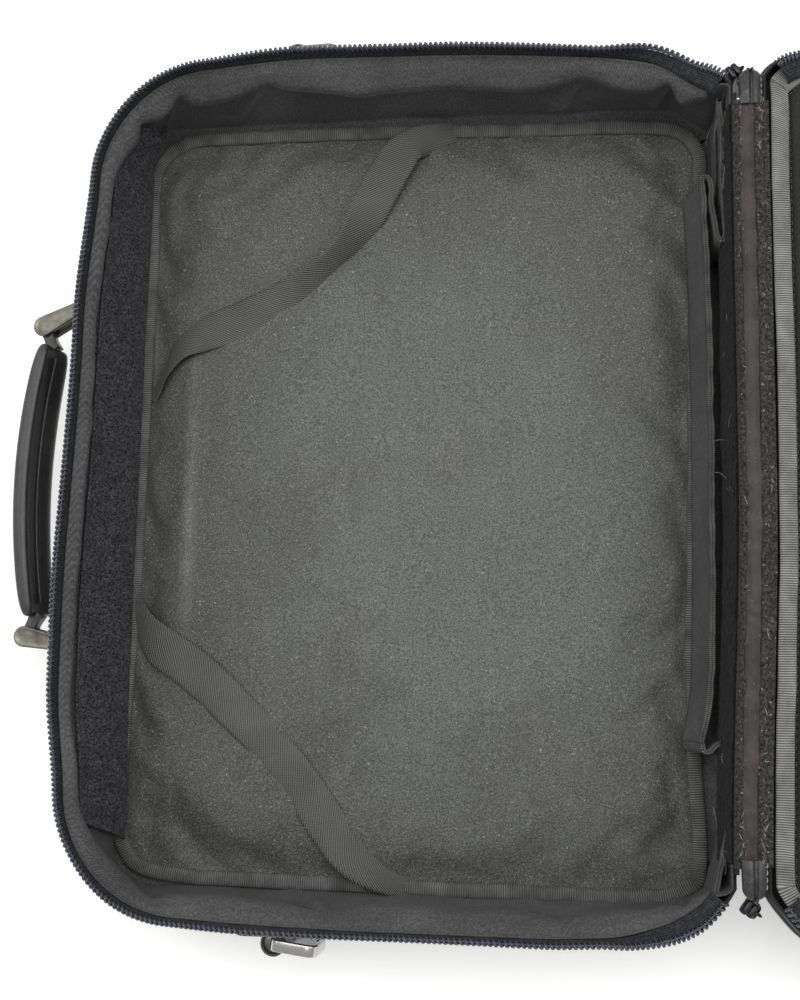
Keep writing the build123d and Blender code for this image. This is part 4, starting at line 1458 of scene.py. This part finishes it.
def lint():
    """Loose fibres and crumbs caught along the spine's seams."""
    rng = np.random.default_rng(12)
    part = Part()
    for _ in range(110):
        if rng.random() < 0.45:
            y = rng.uniform(-166.0, 166.0)
        else:
            y = rng.choice((-1, 1)) * rng.normal(158.0, 7.0)
        y = float(np.clip(y, -168.0, 167.0))
        z = rng.choice((66.9, 75.6, 76.6)) + rng.normal(0.0, 0.5)
        x = 154.0 - rng.uniform(0.0, 0.6)
        size = rng.uniform(0.06, 0.17)
        turn = rng.uniform(0.0, 2 * math.pi, 2)
        reach = rng.uniform(0.3, 2.2)
        t = np.linspace(-1.0, 1.0, 5)
        curl = y + reach * np.cos(turn[0]) * t + 0.3 * np.sin(3 * t)
        path = np.column_stack([x - 0.3 * (1 - t * t), curl,
                                z + 0.5 * reach * np.sin(turn[0]) * t])
        part.tube(path, size * np.array([0.4, 0.9, 1.0, 0.9, 0.4]), sides=5)
    piece("lint", part, LINT, "spine", place=open_spine)


def hairs():
    """Long pale hairs on the pile beside the spine and over the pocket's folds."""
    rng = np.random.default_rng(5)
    part = Part()
    for _ in range(30):
        near_end = rng.random() < 0.5
        y = rng.choice((-1, 1)) * rng.normal(160.0, 12.0) if near_end else rng.uniform(-150.0, 150.0)
        x = rng.uniform(146.0, 155.0)
        start = np.array([x, float(np.clip(y, -176.0, 172.0)), rng.uniform(50.0, 61.0)])
        heading = rng.uniform(0.0, 2 * math.pi)
        reach = rng.uniform(3.0, 13.0)
        bend = rng.normal(0.0, 0.35)
        t = np.linspace(0.0, 1.0, 10)
        angle = heading + bend * t * 3.0
        step = reach / 9.0
        path = start + np.column_stack([np.cumsum(np.cos(angle)) * step * 0.5,
                                        np.cumsum(np.sin(angle)) * step,
                                        2.0 * np.sin(np.pi * t) * rng.uniform(0.0, 1.0)])
        path[:, 0] = np.clip(path[:, 0], 142.0, 155.5)
        part.tube(path, 0.06, sides=4)
    piece("hairs", part, LINT, "case_base", place=soften)


# ---- lid, drawn closed -----------------------------------------------------------------------------

LID_INNER = RIM_Z + SPINE_W
LID_TOP = LID_INNER + LID_T


def lid_ring(inset, spine_gap=0.6):
    return outline(inset, max(RIM_R - inset, 5.0), inset + spine_gap)


def lid_shell():
    """Outer fabric of the lid: low wall, rolled edge and a softly crowned back."""
    rows = []
    for k in np.linspace(0.0, 1.0, 7):
        ring = lid_ring(-0.5 * math.sin(math.pi * k))
        low = 74.0 + 3.8 * smooth(149.0, 153.5, ring[:, 0])
        rows.append(at_height(ring, low + (LID_TOP - 4.0 - low) * k))
    for k in np.linspace(0.15, 1.0, 7):
        turn = k * math.pi / 2
        rows.append(at_height(lid_ring(4.0 * (1 - math.cos(turn))), LID_TOP - 4.0 + 4.0 * math.sin(turn)))
    rows = np.array(rows)
    rows[..., :2] += (0.5 * field(rows, 40.0, 91))[..., None] * outward(lid_ring(0.0))[None]
    part = Part().grid(rows.transpose(1, 0, 2), closed=True)
    edge = rows[-1]
    shrink = np.linspace(0.0, 0.97, 26)
    back = np.array([edge * (1 - t) + np.array([0.0, 0.0, LID_TOP]) * t for t in shrink])
    waves = 0.9 * field(back, 70.0, 92) + 0.3 * field(back, 18.0, 93)
    back[..., 2] += waves * smooth(0.0, 0.1, shrink)[:, None]
    part.grid(back.transpose(1, 0, 2), closed=True)
    last = part.count - len(edge) * len(shrink)
    part.faces.append(tuple(last + i * len(shrink) + len(shrink) - 1 for i in range(len(edge))))
    made = piece("lid_cover", part, FABRIC, "lid", ["lid_shell"], open_lid)
    weld(made)
    thicken(made, 1.2)
    trim = at_height(lid_ring(-0.3), LID_TOP - 4.2)
    trim = resample(np.vstack([trim, trim[:1]]), step=3.0)[:-1]
    edge_part = Part().tube(trim, 1.3, sides=8, closed=True)
    piece("lid_piping", edge_part, PIPING, "lid", place=open_lid)


def lid_inside():
    """Dark padded panel inside the lid."""
    ring = lid_ring(9.0)[::3]
    grid, gap = filled(ring, 5.0)
    zeros = np.zeros_like(gap)
    points3 = np.concatenate([grid, zeros[..., None]], -1)
    crown = 1.3 * smooth(1.0, 22.0, gap) * (1.0 + 0.5 * field(points3, 45.0, 95))
    lower = LID_INNER - 0.2 - crown
    lower[gap < 0.1] = LID_INNER + 0.3
    upper = np.full_like(lower, LID_INNER + 0.9)
    upper[gap < 0.1] = LID_INNER + 0.3
    made = closed_pad("lid_panel", grid, upper, lower, LID_TWILL, "lid",
                      ["lid_lining", "lid_foam", "lid_board"], open_lid)


def lid_binding():
    ring = lid_ring(6.4)
    path = at_height(ring, LID_INNER - 0.4)
    s = lengths(path)
    path[:, :2] -= (0.5 * wander(s, 40.0, 97))[:, None] * outward(ring)
    path = resample(np.vstack([path, path[:1]]), step=1.0)[:-1]
    part = ribbed_band(Part(), path, 8.0, 3.0, 1.03, closed=True, depth=0.2)
    piece("lid_binding_tape", part, LID_GROSGRAIN, "lid", ["lid_binding"], open_lid)
    inner = at_height(lid_ring(10.6), LID_INNER - 1.2)
    stitch_row("lid_binding_stitches", inner, "lid", "grosgrain", open_lid, push=0.0, lift=-0.15)


# ---- handle ----------------------------------------------------------------------------------------

def pivot(name):
    return np.array(joint(name)["pos_m"]) / MM


LINK_LENGTH = 18.0
LINK_DOWN_LEAN = math.radians(10.4)


def lower_end():
    """The grip's lower pin: the far end of the lower link, which leans to the handle's middle."""
    run = np.array([-math.cos(LINK_DOWN_LEAN), math.sin(LINK_DOWN_LEAN), 0.0])
    return pivot("lower_link_swing") + run * LINK_LENGTH


def grip_line(count):
    """Centre line of the padded grip, bowed away from the case, with the share along it."""
    up, down = pivot("grip_swing"), lower_end()
    run = down - up
    share = 10.0 / np.linalg.norm(run)
    a = up + run * share + (2.5, 0, 0)
    b = down - run * share + (2.5, 0, 0)
    t = np.linspace(0.0, 1.0, count)
    line = a + (b - a) * t[:, None]
    line[:, 0] += 1.8 - 6.5 * (1.0 - (2.0 * t - 1.0) ** 2)
    return t, line


def grip():
    t, line = grip_line(220)
    level, upright = flat_frame(line)
    sign = 1.0 if level[len(t) // 2, 0] > 0 else -1.0
    tilt = math.radians(16.0)
    up = upright * math.cos(tilt) - level * sign * math.sin(tilt)
    across = level * math.cos(tilt) + upright * sign * math.sin(tilt)
    ends = np.sqrt(np.clip(1.0 - (np.abs(2 * t - 1) ** 14), 0.0, 1.0))
    taper = 0.86 + 0.14 * np.sin(np.pi * t) ** 0.4
    section = pillow_section(9.0, 23.0, 56, 3.4)
    scale = np.stack([taper * (0.35 + 0.65 * ends), taper * (0.8 + 0.2 * ends)], 1)
    sections = section[None] * scale[:, None]
    hollow = 1.1 * np.exp(-(section[:, 1] / 6.0) ** 2) * (section[:, 0] * sign > 0)
    sections = sections - np.stack([sign * hollow, np.zeros_like(hollow)], 1)[None]
    ridge = 0.7 * np.exp(-((section[:, 1] - 9.6) / 1.6) ** 2) * (section[:, 0] * sign > 1.0)
    sections = sections + np.stack([sign * ridge, 0.4 * ridge], 1)[None]
    part = Part()
    add_sweep(part, line, sections, across, up)
    made = piece("grip_leather", part, LEATHER, "grip", ["handle_grip"])
    inside_x = across * sign
    seam = line[8:-8] + inside_x[8:-8] * 3.2 + (0.0, 0.0, 1.0)
    rib = Part().tube(seam[::2], 0.55, sides=6)
    piece("grip_seam", rib, LEATHER, "grip")
    thread = stitches(seam + inside_x[8:-8] * 0.55, stitch=2.4, gap=0.9, radius=0.2)
    piece("grip_stitches", thread, THREAD, "grip")


def neck(name, node, end, tip):
    """Folded leather strap round the outer pin."""
    end, tip = np.array(end, float), np.array(tip, float)
    heading = unit(tip - end)
    side = unit(np.cross(heading, (0, 0, 1.0)))
    length = np.linalg.norm(tip - end) + 1.5
    outer = []
    for a in np.linspace(-math.pi / 2, math.pi / 2, 15):
        outer.append(end - heading * 3.5 * math.cos(a) + side * 3.5 * math.sin(a))
    far = end + heading * length
    for k in np.linspace(0.0, 1.0, 8):
        outer.append(end * (1 - k) + far * k + side * (3.5 - 0.9 * math.sin(math.pi * k)))
    for k in np.linspace(1.0, 0.0, 8):
        outer.append(end * (1 - k) + far * k - side * (3.5 - 0.9 * math.sin(math.pi * k)))
    outline_points = np.array(outer)
    heights = np.array([-3.3, -3.15, -2.8, 2.8, 3.15, 3.3])
    shrink = np.array([0.90, 0.97, 1.0, 1.0, 0.97, 0.90])
    centre = outline_points.mean(0)
    rows = np.array([centre + (outline_points - centre) * k + (0, 0, h) for h, k in zip(heights, shrink)])
    n = len(outline_points)
    part = Part().add(rows, ring_faces(len(heights), n)).caps(0, len(heights), n)
    piece(name, part, LEATHER, "grip", [node])


def teardrop(wall, end, wide, narrow, count=22):
    """Plan outline of a link plate, anticlockwise."""
    run = end - wall
    length = np.linalg.norm(run[:2])
    heading = math.atan2(run[1], run[0])
    lean = math.asin((wide - narrow) / length)
    out = []
    for a in np.linspace(-(math.pi / 2 + lean), math.pi / 2 + lean, count):
        out.append(end[:2] + wide * np.array([math.cos(heading + a), math.sin(heading + a)]))
    for a in np.linspace(math.pi / 2 + lean, 1.5 * math.pi - lean, count // 2):
        out.append(wall[:2] + narrow * np.array([math.cos(heading + a), math.sin(heading + a)]))
    return np.array(out)


def bevelled_plate(part, outline_points, low, high, bevel, dish=0.0):
    """Flat plate with bevelled rims and a shallow dished face."""
    centre = outline_points.mean(0)
    away = outward(outline_points)
    steps = [(low, bevel), (low + bevel * 0.35, bevel * 0.35), (low + bevel, 0.0),
             (high - bevel, 0.0), (high - bevel * 0.35, bevel * 0.35), (high, bevel),
             (high, bevel + 0.35), (high - dish, bevel + 0.8)]
    rows = [at_height(outline_points - away * inset, z) for z, inset in steps]
    face = rows[-1].copy()
    for k in (0.35, 0.7, 0.97):
        ring = face.copy()
        ring[:, :2] = face[:, :2] * (1 - k) + centre * k
        rows.append(ring)
    n = len(outline_points)
    start = part.count
    part.add(np.array(rows), ring_faces(len(rows), n))
    return part.caps(start, len(rows), n)


def pin(part, at, radius, low, high):
    """Rivet with domed heads."""
    turn = np.linspace(0.0, math.pi / 2, 5)
    top = [(high - radius * 0.4 * (1 - math.sin(a)), radius * math.cos(a) * 0.999 + 0.001) for a in turn]
    heights = [(low + (high - z), r) for z, r in top[::-1]] + top
    a = np.linspace(0.0, 2 * math.pi, 20, endpoint=False)
    rows = []
    for z, r in heights:
        rows.append([(at[0] + r * math.cos(b), at[1] + r * math.sin(b), z) for b in a])
    rows = np.array(rows)
    start = part.count
    part.add(rows, ring_faces(len(rows), 20))
    return part.caps(start, len(rows), 20)


def link(name, node, body, wall, end):
    part = Part()
    shape = teardrop(wall, end, 5.0, 3.4)
    bevelled_plate(part, shape, HANDLE_Z + 3.7, HANDLE_Z + 5.5, 0.6, dish=0.18)
    bevelled_plate(part, shape, HANDLE_Z - 5.5, HANDLE_Z - 3.7, 0.6)
    pin(part, end, 1.5, HANDLE_Z - 5.4, HANDLE_Z + 5.2)
    made = piece(name, part, NICKEL, body, [node])
    flat_edges(made, 35)


def flat_edges(obj, degrees_limit):
    """Smooth shading that keeps hard edges sharper than the limit."""
    mesh = obj.data
    mesh.polygons.foreach_set("use_smooth", [True] * len(mesh.polygons))
    mesh.set_sharp_from_angle(angle=math.radians(degrees_limit))


def bracket(name, node, wall):
    """Leather-backed wall plate with the lug that holds a link's fixed pin."""
    face_x = -HALF_X + LEAN * (1.0 - HANDLE_Z / RIM_Z)
    part = Part()
    size_y, size_z = 11.0, 12.0
    corner = 3.0
    shape = rounded_rectangle(size_y, size_z, corner)
    rows = []
    for x, inset in ((face_x - 0.2, 0.0), (face_x - 1.3, 0.0), (face_x - 1.75, 0.2), (face_x - 1.9, 0.7)):
        ring = shape * (1.0 - inset / size_z)
        lean = (ring[:, 1]) * LEAN / RIM_Z
        rows.append(np.column_stack([x - lean, wall[1] + ring[:, 0], HANDLE_Z + ring[:, 1]]))
    n = len(shape)
    part.add(np.array(rows), ring_faces(len(rows), n))
    part.faces.append(tuple((len(rows) - 1) * n + i for i in range(n)))
    part.faces.append(tuple(range(n))[::-1])
    piece(name + "_patch", part, LEATHER, "case_base")
    metal_part = Part()
    lug = np.array([(wall[0], wall[1] + 3.0), (face_x - 1.0, wall[1] + 3.4), (face_x - 1.0, wall[1] - 3.4),
                    (wall[0], wall[1] - 3.0)])
    lug = resample(np.vstack([lug, lug[:1]]), count=40)[:-1][::-1]
    bevelled_plate(metal_part, lug, HANDLE_Z - 3.3, HANDLE_Z + 3.3, 0.35)
    pin(metal_part, wall, 3.0, HANDLE_Z - 3.3, HANDLE_Z + 3.3)
    pin(metal_part, wall, 1.5, HANDLE_Z - 5.9, HANDLE_Z + 5.9)
    made = piece(name, metal_part, NICKEL, "case_base", [node])
    flat_edges(made, 35)


def rounded_rectangle(half_w, half_h, radius, steps=7):
    out = []
    for cx, cy, start in ((1, 1, 0.0), (-1, 1, 0.5), (-1, -1, 1.0), (1, -1, 1.5)):
        for a in np.linspace(start * math.pi, (start + 0.5) * math.pi, steps):
            out.append((cx * (half_w - radius) + radius * math.cos(a),
                        cy * (half_h - radius) + radius * math.sin(a)))
    return np.array(out)


def handle():
    up_wall, up_end = pivot("upper_link_swing"), pivot("grip_swing")
    low_wall = pivot("lower_link_swing")
    low_end = lower_end()
    _, line = grip_line(40)
    grip()
    neck("neck_upper", "handle_neck_upper", up_end, line[0])
    neck("neck_lower", "handle_neck_lower", low_end, line[-1])
    link("link_upper", "handle_link_upper", "upper_link", up_wall, up_end)
    link("link_lower", "handle_link_lower", "lower_link", low_wall, low_end)
    bracket("bracket_upper", "handle_bracket_upper", up_wall)
    bracket("bracket_lower", "handle_bracket_lower", low_wall)


# ---- shoulder-strap rings --------------------------------------------------------------------------

def ring_loop(name, node, side):
    """Leather patch with a rolled loop standing off the wall."""
    at = pivot("upper_ring_swing" if side > 0 else "lower_ring_swing")
    wall_y = side * (HALF_Y - LEAN * (1.0 - at[2] / RIM_Z))
    part = Part()
    under = ((4.1, -9.0), (4.5, -9.5), (5.6, -9.5), (6.0, -9.0))
    roll = under + tuple((r, -z) for r, z in under[::-1])
    steps = 30
    rows = []
    for r, z in roll:
        ring = [(at[0] + r * math.cos(a), at[1] + r * math.sin(a), at[2] + z)
                for a in np.linspace(0.0, 2 * math.pi, steps, endpoint=False)]
        rows.append(ring)
    rows = np.array(rows)
    rows += 0.12 * field(rows, 4.0, 101)[..., None]
    part.add(rows, ring_faces(len(rows), steps, True))
    made = piece(name, part, LEATHER, "case_base", [node])
    rounded(made)
    flap = Part()
    shape = rounded_rectangle(14.0, 17.0, 4.0)
    rings = []
    for y, inset in ((wall_y + side * 0.1, 0.0), (wall_y + side * 1.6, 0.0), (wall_y + side * 2.2, 0.4),
                     (wall_y + side * 2.4, 1.2), (wall_y + side * 2.2, 4.0)):
        ring = shape * (1.0 - inset / 15.0)
        lean = side * ring[:, 1] * LEAN / RIM_Z
        rings.append(np.column_stack([at[0] - 2.0 + ring[:, 0], y + lean, at[2] + ring[:, 1]]))
    n = len(shape)
    flap.add(np.array(rings), ring_faces(len(rings), n))
    flap.faces.append(tuple((len(rings) - 1) * n + i for i in range(n)))
    neck_rows = []
    for k in np.linspace(0.0, 1.0, 7):
        y = wall_y + side * 1.5 + (at[1] - side * 4.6 - wall_y - side * 1.5) * k
        half = 9.4 - 1.0 * math.sin(math.pi * k)
        neck_rows.append([(at[0] - 4.6, y, at[2] - half), (at[0] + 0.4, y, at[2] - half),
                          (at[0] + 0.4, y, at[2] + half), (at[0] - 4.6, y, at[2] + half)])
    flap.add(np.array(neck_rows), ring_faces(7, 4))
    piece(name + "_patch", flap, LEATHER, "case_base")
    rim = rounded_rectangle(12.4, 15.4, 3.2)
    lean = side * rim[:, 1] * LEAN / RIM_Z
    line = np.column_stack([at[0] - 2.0 + rim[:, 0], wall_y + side * 2.35 + lean, at[2] + rim[:, 1]])
    line = resample(np.vstack([line, line[:1]]), step=0.8)
    thread = stitches(line, lift=0.0)
    piece(name + "_stitches", thread, THREAD, "case_base")


def strap_ring(name, node, body, side):
    """Flat metal band bent into a rounded rectangle, with softened edges."""
    at = pivot(body + "_swing")
    shape = rounded_rectangle(21.5 / 2 - 1.1, 27.0 / 2 - 1.1, 3.6, steps=9)
    shape = resample(np.vstack([shape, shape[:1]]), step=0.8)[:-1]
    away = outward(shape)
    band = rounded_rectangle(1.1, 2.7, 0.7, steps=4)
    turn = math.radians(2.0 if side > 0 else -7.5)
    rows = []
    for c, n in zip(shape, away):
        x = c[0] + n[0] * band[:, 0] + 21.5 / 2 - 1.1
        z = c[1] + n[1] * band[:, 0]
        y = band[:, 1]
        rows.append(np.column_stack([at[0] + x * math.cos(turn) - y * math.sin(turn),
                                     at[1] + x * math.sin(turn) + y * math.cos(turn), at[2] + z]))
    part = Part().add(np.array(rows), ring_faces(len(rows), len(band), True))
    made = piece(name, part, BRIGHT, body, [node])
    flat_edges(made, 40)


def rings():
    for side, word in ((1, "upper"), (-1, "lower")):
        ring_loop("ring_loop_" + word, "ring_chape_" + word, side)
        strap_ring("ring_" + word, "strap_ring_" + word, word + "_ring", side)


# ---- zip sliders -----------------------------------------------------------------------------------

def slider_frame(side):
    """Bail centre and two local axes of a slider: along the zip and outwards."""
    at = pivot(("upper" if side > 0 else "lower") + "_pull_swing")
    axis = np.array(joint(("upper" if side > 0 else "lower") + "_pull_swing")["axis"], float)
    along = unit(axis)
    out = unit(np.cross(along, (0, 0, 1.0)))
    if out[1] * side < 0:
        out = -out
    return at, along, out


def boxy(part, at, axes, halves, radius, shift=(0.0, 0.0, 0.0)):
    """Rounded block given by its local axes."""
    along, out = axes
    up = np.array([0.0, 0.0, 1.0])
    shape = rounded_rectangle(halves[0], halves[2], radius, steps=5)
    centre = at + along * shift[0] + out * shift[1] + up * shift[2]
    rows = []
    for y, inset in ((-halves[1], 0.5), (-halves[1] + 0.15, 0.15), (-halves[1] + 0.5, 0.0),
                     (halves[1] - 0.5, 0.0), (halves[1] - 0.15, 0.15), (halves[1], 0.5)):
        ring = shape * (1.0 - inset / max(halves[0], halves[2]))
        rows.append(centre + along * ring[:, :1] + up * ring[:, 1:] + out * y)
    n = len(shape)
    start = part.count
    part.add(np.array(rows), ring_faces(len(rows), n))
    return part.caps(start, len(rows), n)


def slider(side, word):
    at, along, out = slider_frame(side)
    body = Part()
    axes = (along, out)
    boxy(body, at, axes, (3.5, 1.1, 5.0), 1.6, (0.0, -5.2, 0.0))
    boxy(body, at, axes, (3.3, 1.1, 4.8), 1.6, (0.0, -2.4, 0.0))
    boxy(body, at, axes, (1.0, 2.4, 3.6), 0.6, (0.0, -3.8, 0.0))
    hoop = []
    for a in np.linspace(-0.62 * math.pi, 0.62 * math.pi, 20):
        hoop.append(at + out * (2.0 * math.cos(a) - 0.1) + np.array([0.0, 0.0, 2.0 * math.sin(a)]))
    body.tube(hoop, 0.62, sides=8)
    made = piece("slider_" + word, body, GUNMETAL, "case_base", ["zip_slider_" + word])
    flat_edges(made, 40)
    pull = Part()
    arm = []
    for a in np.linspace(0.0, 2 * math.pi, 24, endpoint=False):
        arm.append(at + along * (2.6 * math.sin(a)) + np.array([0, 0, -2.9 + 3.2 * math.cos(a)]))
    pull.tube(arm, 0.72, sides=8, closed=True)
    boxy(pull, at, axes, (3.4, 0.8, 9.8), 2.6, (0.0, 0.0, -16.2))
    made = piece("pull_" + word, pull, GUNMETAL, word + "_pull", ["zip_pull_" + word])
    flat_edges(made, 40)


# ---- stage -----------------------------------------------------------------------------------------

def floor_and_light():
    part = Part()
    span = np.linspace(-9000.0, 9000.0, 31)
    gx, gy = np.meshgrid(span, span, indexing="ij")
    part.grid(np.stack([gx, gy, np.full_like(gx, -0.3)], -1))
    points = np.vstack(part.points)
    mesh = bpy.data.meshes.new("floor")
    mesh.from_pydata((points * MM).tolist(), [], part.faces)
    look = Look("paper", 0.85, Specular_IOR_Level=0.2, Emission_Color=(1.0, 1.0, 0.99, 1.0),
                Emission_Strength=0.34)
    look.colour(look.mix(look.ramp(look.noise(400.0), 0.3, 0.7), srgb(246, 246, 243), srgb(250, 250, 248)))
    mesh.materials.append(look.material)
    floor = bpy.data.objects.new("floor", mesh)
    bpy.context.scene.collection.objects.link(floor)
    world = bpy.data.worlds.new("studio")
    world.use_nodes = True
    world.node_tree.nodes["Background"].inputs[0].default_value = (1.0, 1.0, 1.0, 1.0)
    world.node_tree.nodes["Background"].inputs[1].default_value = 0.5
    bpy.context.scene.world = world
    light("softbox_head", (0.15, 0.35, 1.8), 1.2, 12.5)
    light("softbox_right", (1.4, 0.2, 1.5), 1.0, 7.0)
    light("softbox_left", (-1.3, 0.5, 1.4), 1.0, 6.5)


def light(name, at, size, power):
    data = bpy.data.lights.new(name, "AREA")
    data.shape = "SQUARE"
    data.size = size
    data.energy = power
    lamp = bpy.data.objects.new(name, data)
    lamp.location = at
    lamp.rotation_euler = (Vector((0.0, 0.0, 0.0)) - Vector(at)).to_track_quat("-Z", "Y").to_euler()
    bpy.context.scene.collection.objects.link(lamp)


def camera():
    data = bpy.data.cameras.new("camera")
    data.lens = 50.4
    data.sensor_width = 36.0
    data.clip_start = 0.01
    data.clip_end = 20.0
    made = bpy.data.objects.new("camera", data)
    at = Vector((0.094, -0.102, 0.675))
    forward = (Vector((0.0065, -0.013, 0.066)) - at).normalized()
    roll = math.radians(0.9)
    level = Vector((math.cos(roll), math.sin(roll), 0.0))
    right = (level - Vector((0, 0, 1)) * (level.dot(forward) / forward.z)).normalized()
    up = right.cross(forward)
    frame_axes = Matrix((right, up, -forward)).transposed().to_4x4()
    made.matrix_world = Matrix.Translation(at) @ frame_axes
    bpy.context.scene.collection.objects.link(made)
    bpy.context.scene.camera = made


camera()
floor_and_light()
shell()
piping()
lining()
floor_binding()
floor_pad()
handle_loop_strip()
hinge_loop_strip()
strap("strap_upper", UPPER_STRAP, "corner_strap_upper")
strap("strap_lower", LOWER_STRAP, "corner_strap_lower")
zip_tape("zip_tape_case", "case_base", ["base_zip_tape"], soften)
zip_coil("zip_teeth_case", "case_base", ["base_zip_coil"], soften)
zip_tape("zip_tape_lid", "lid", ["lid_zip_tape"], lid_zip_place, flip=True)
zip_coil("zip_teeth_lid", "lid", ["lid_zip_coil"], lid_zip_place)
pocket()
spine()
hairs()
lid_shell()
lid_inside()
lid_binding()
handle()
rings()
slider(1, "upper")
slider(-1, "lower")
bpy.context.scene.view_settings.view_transform = "Standard"
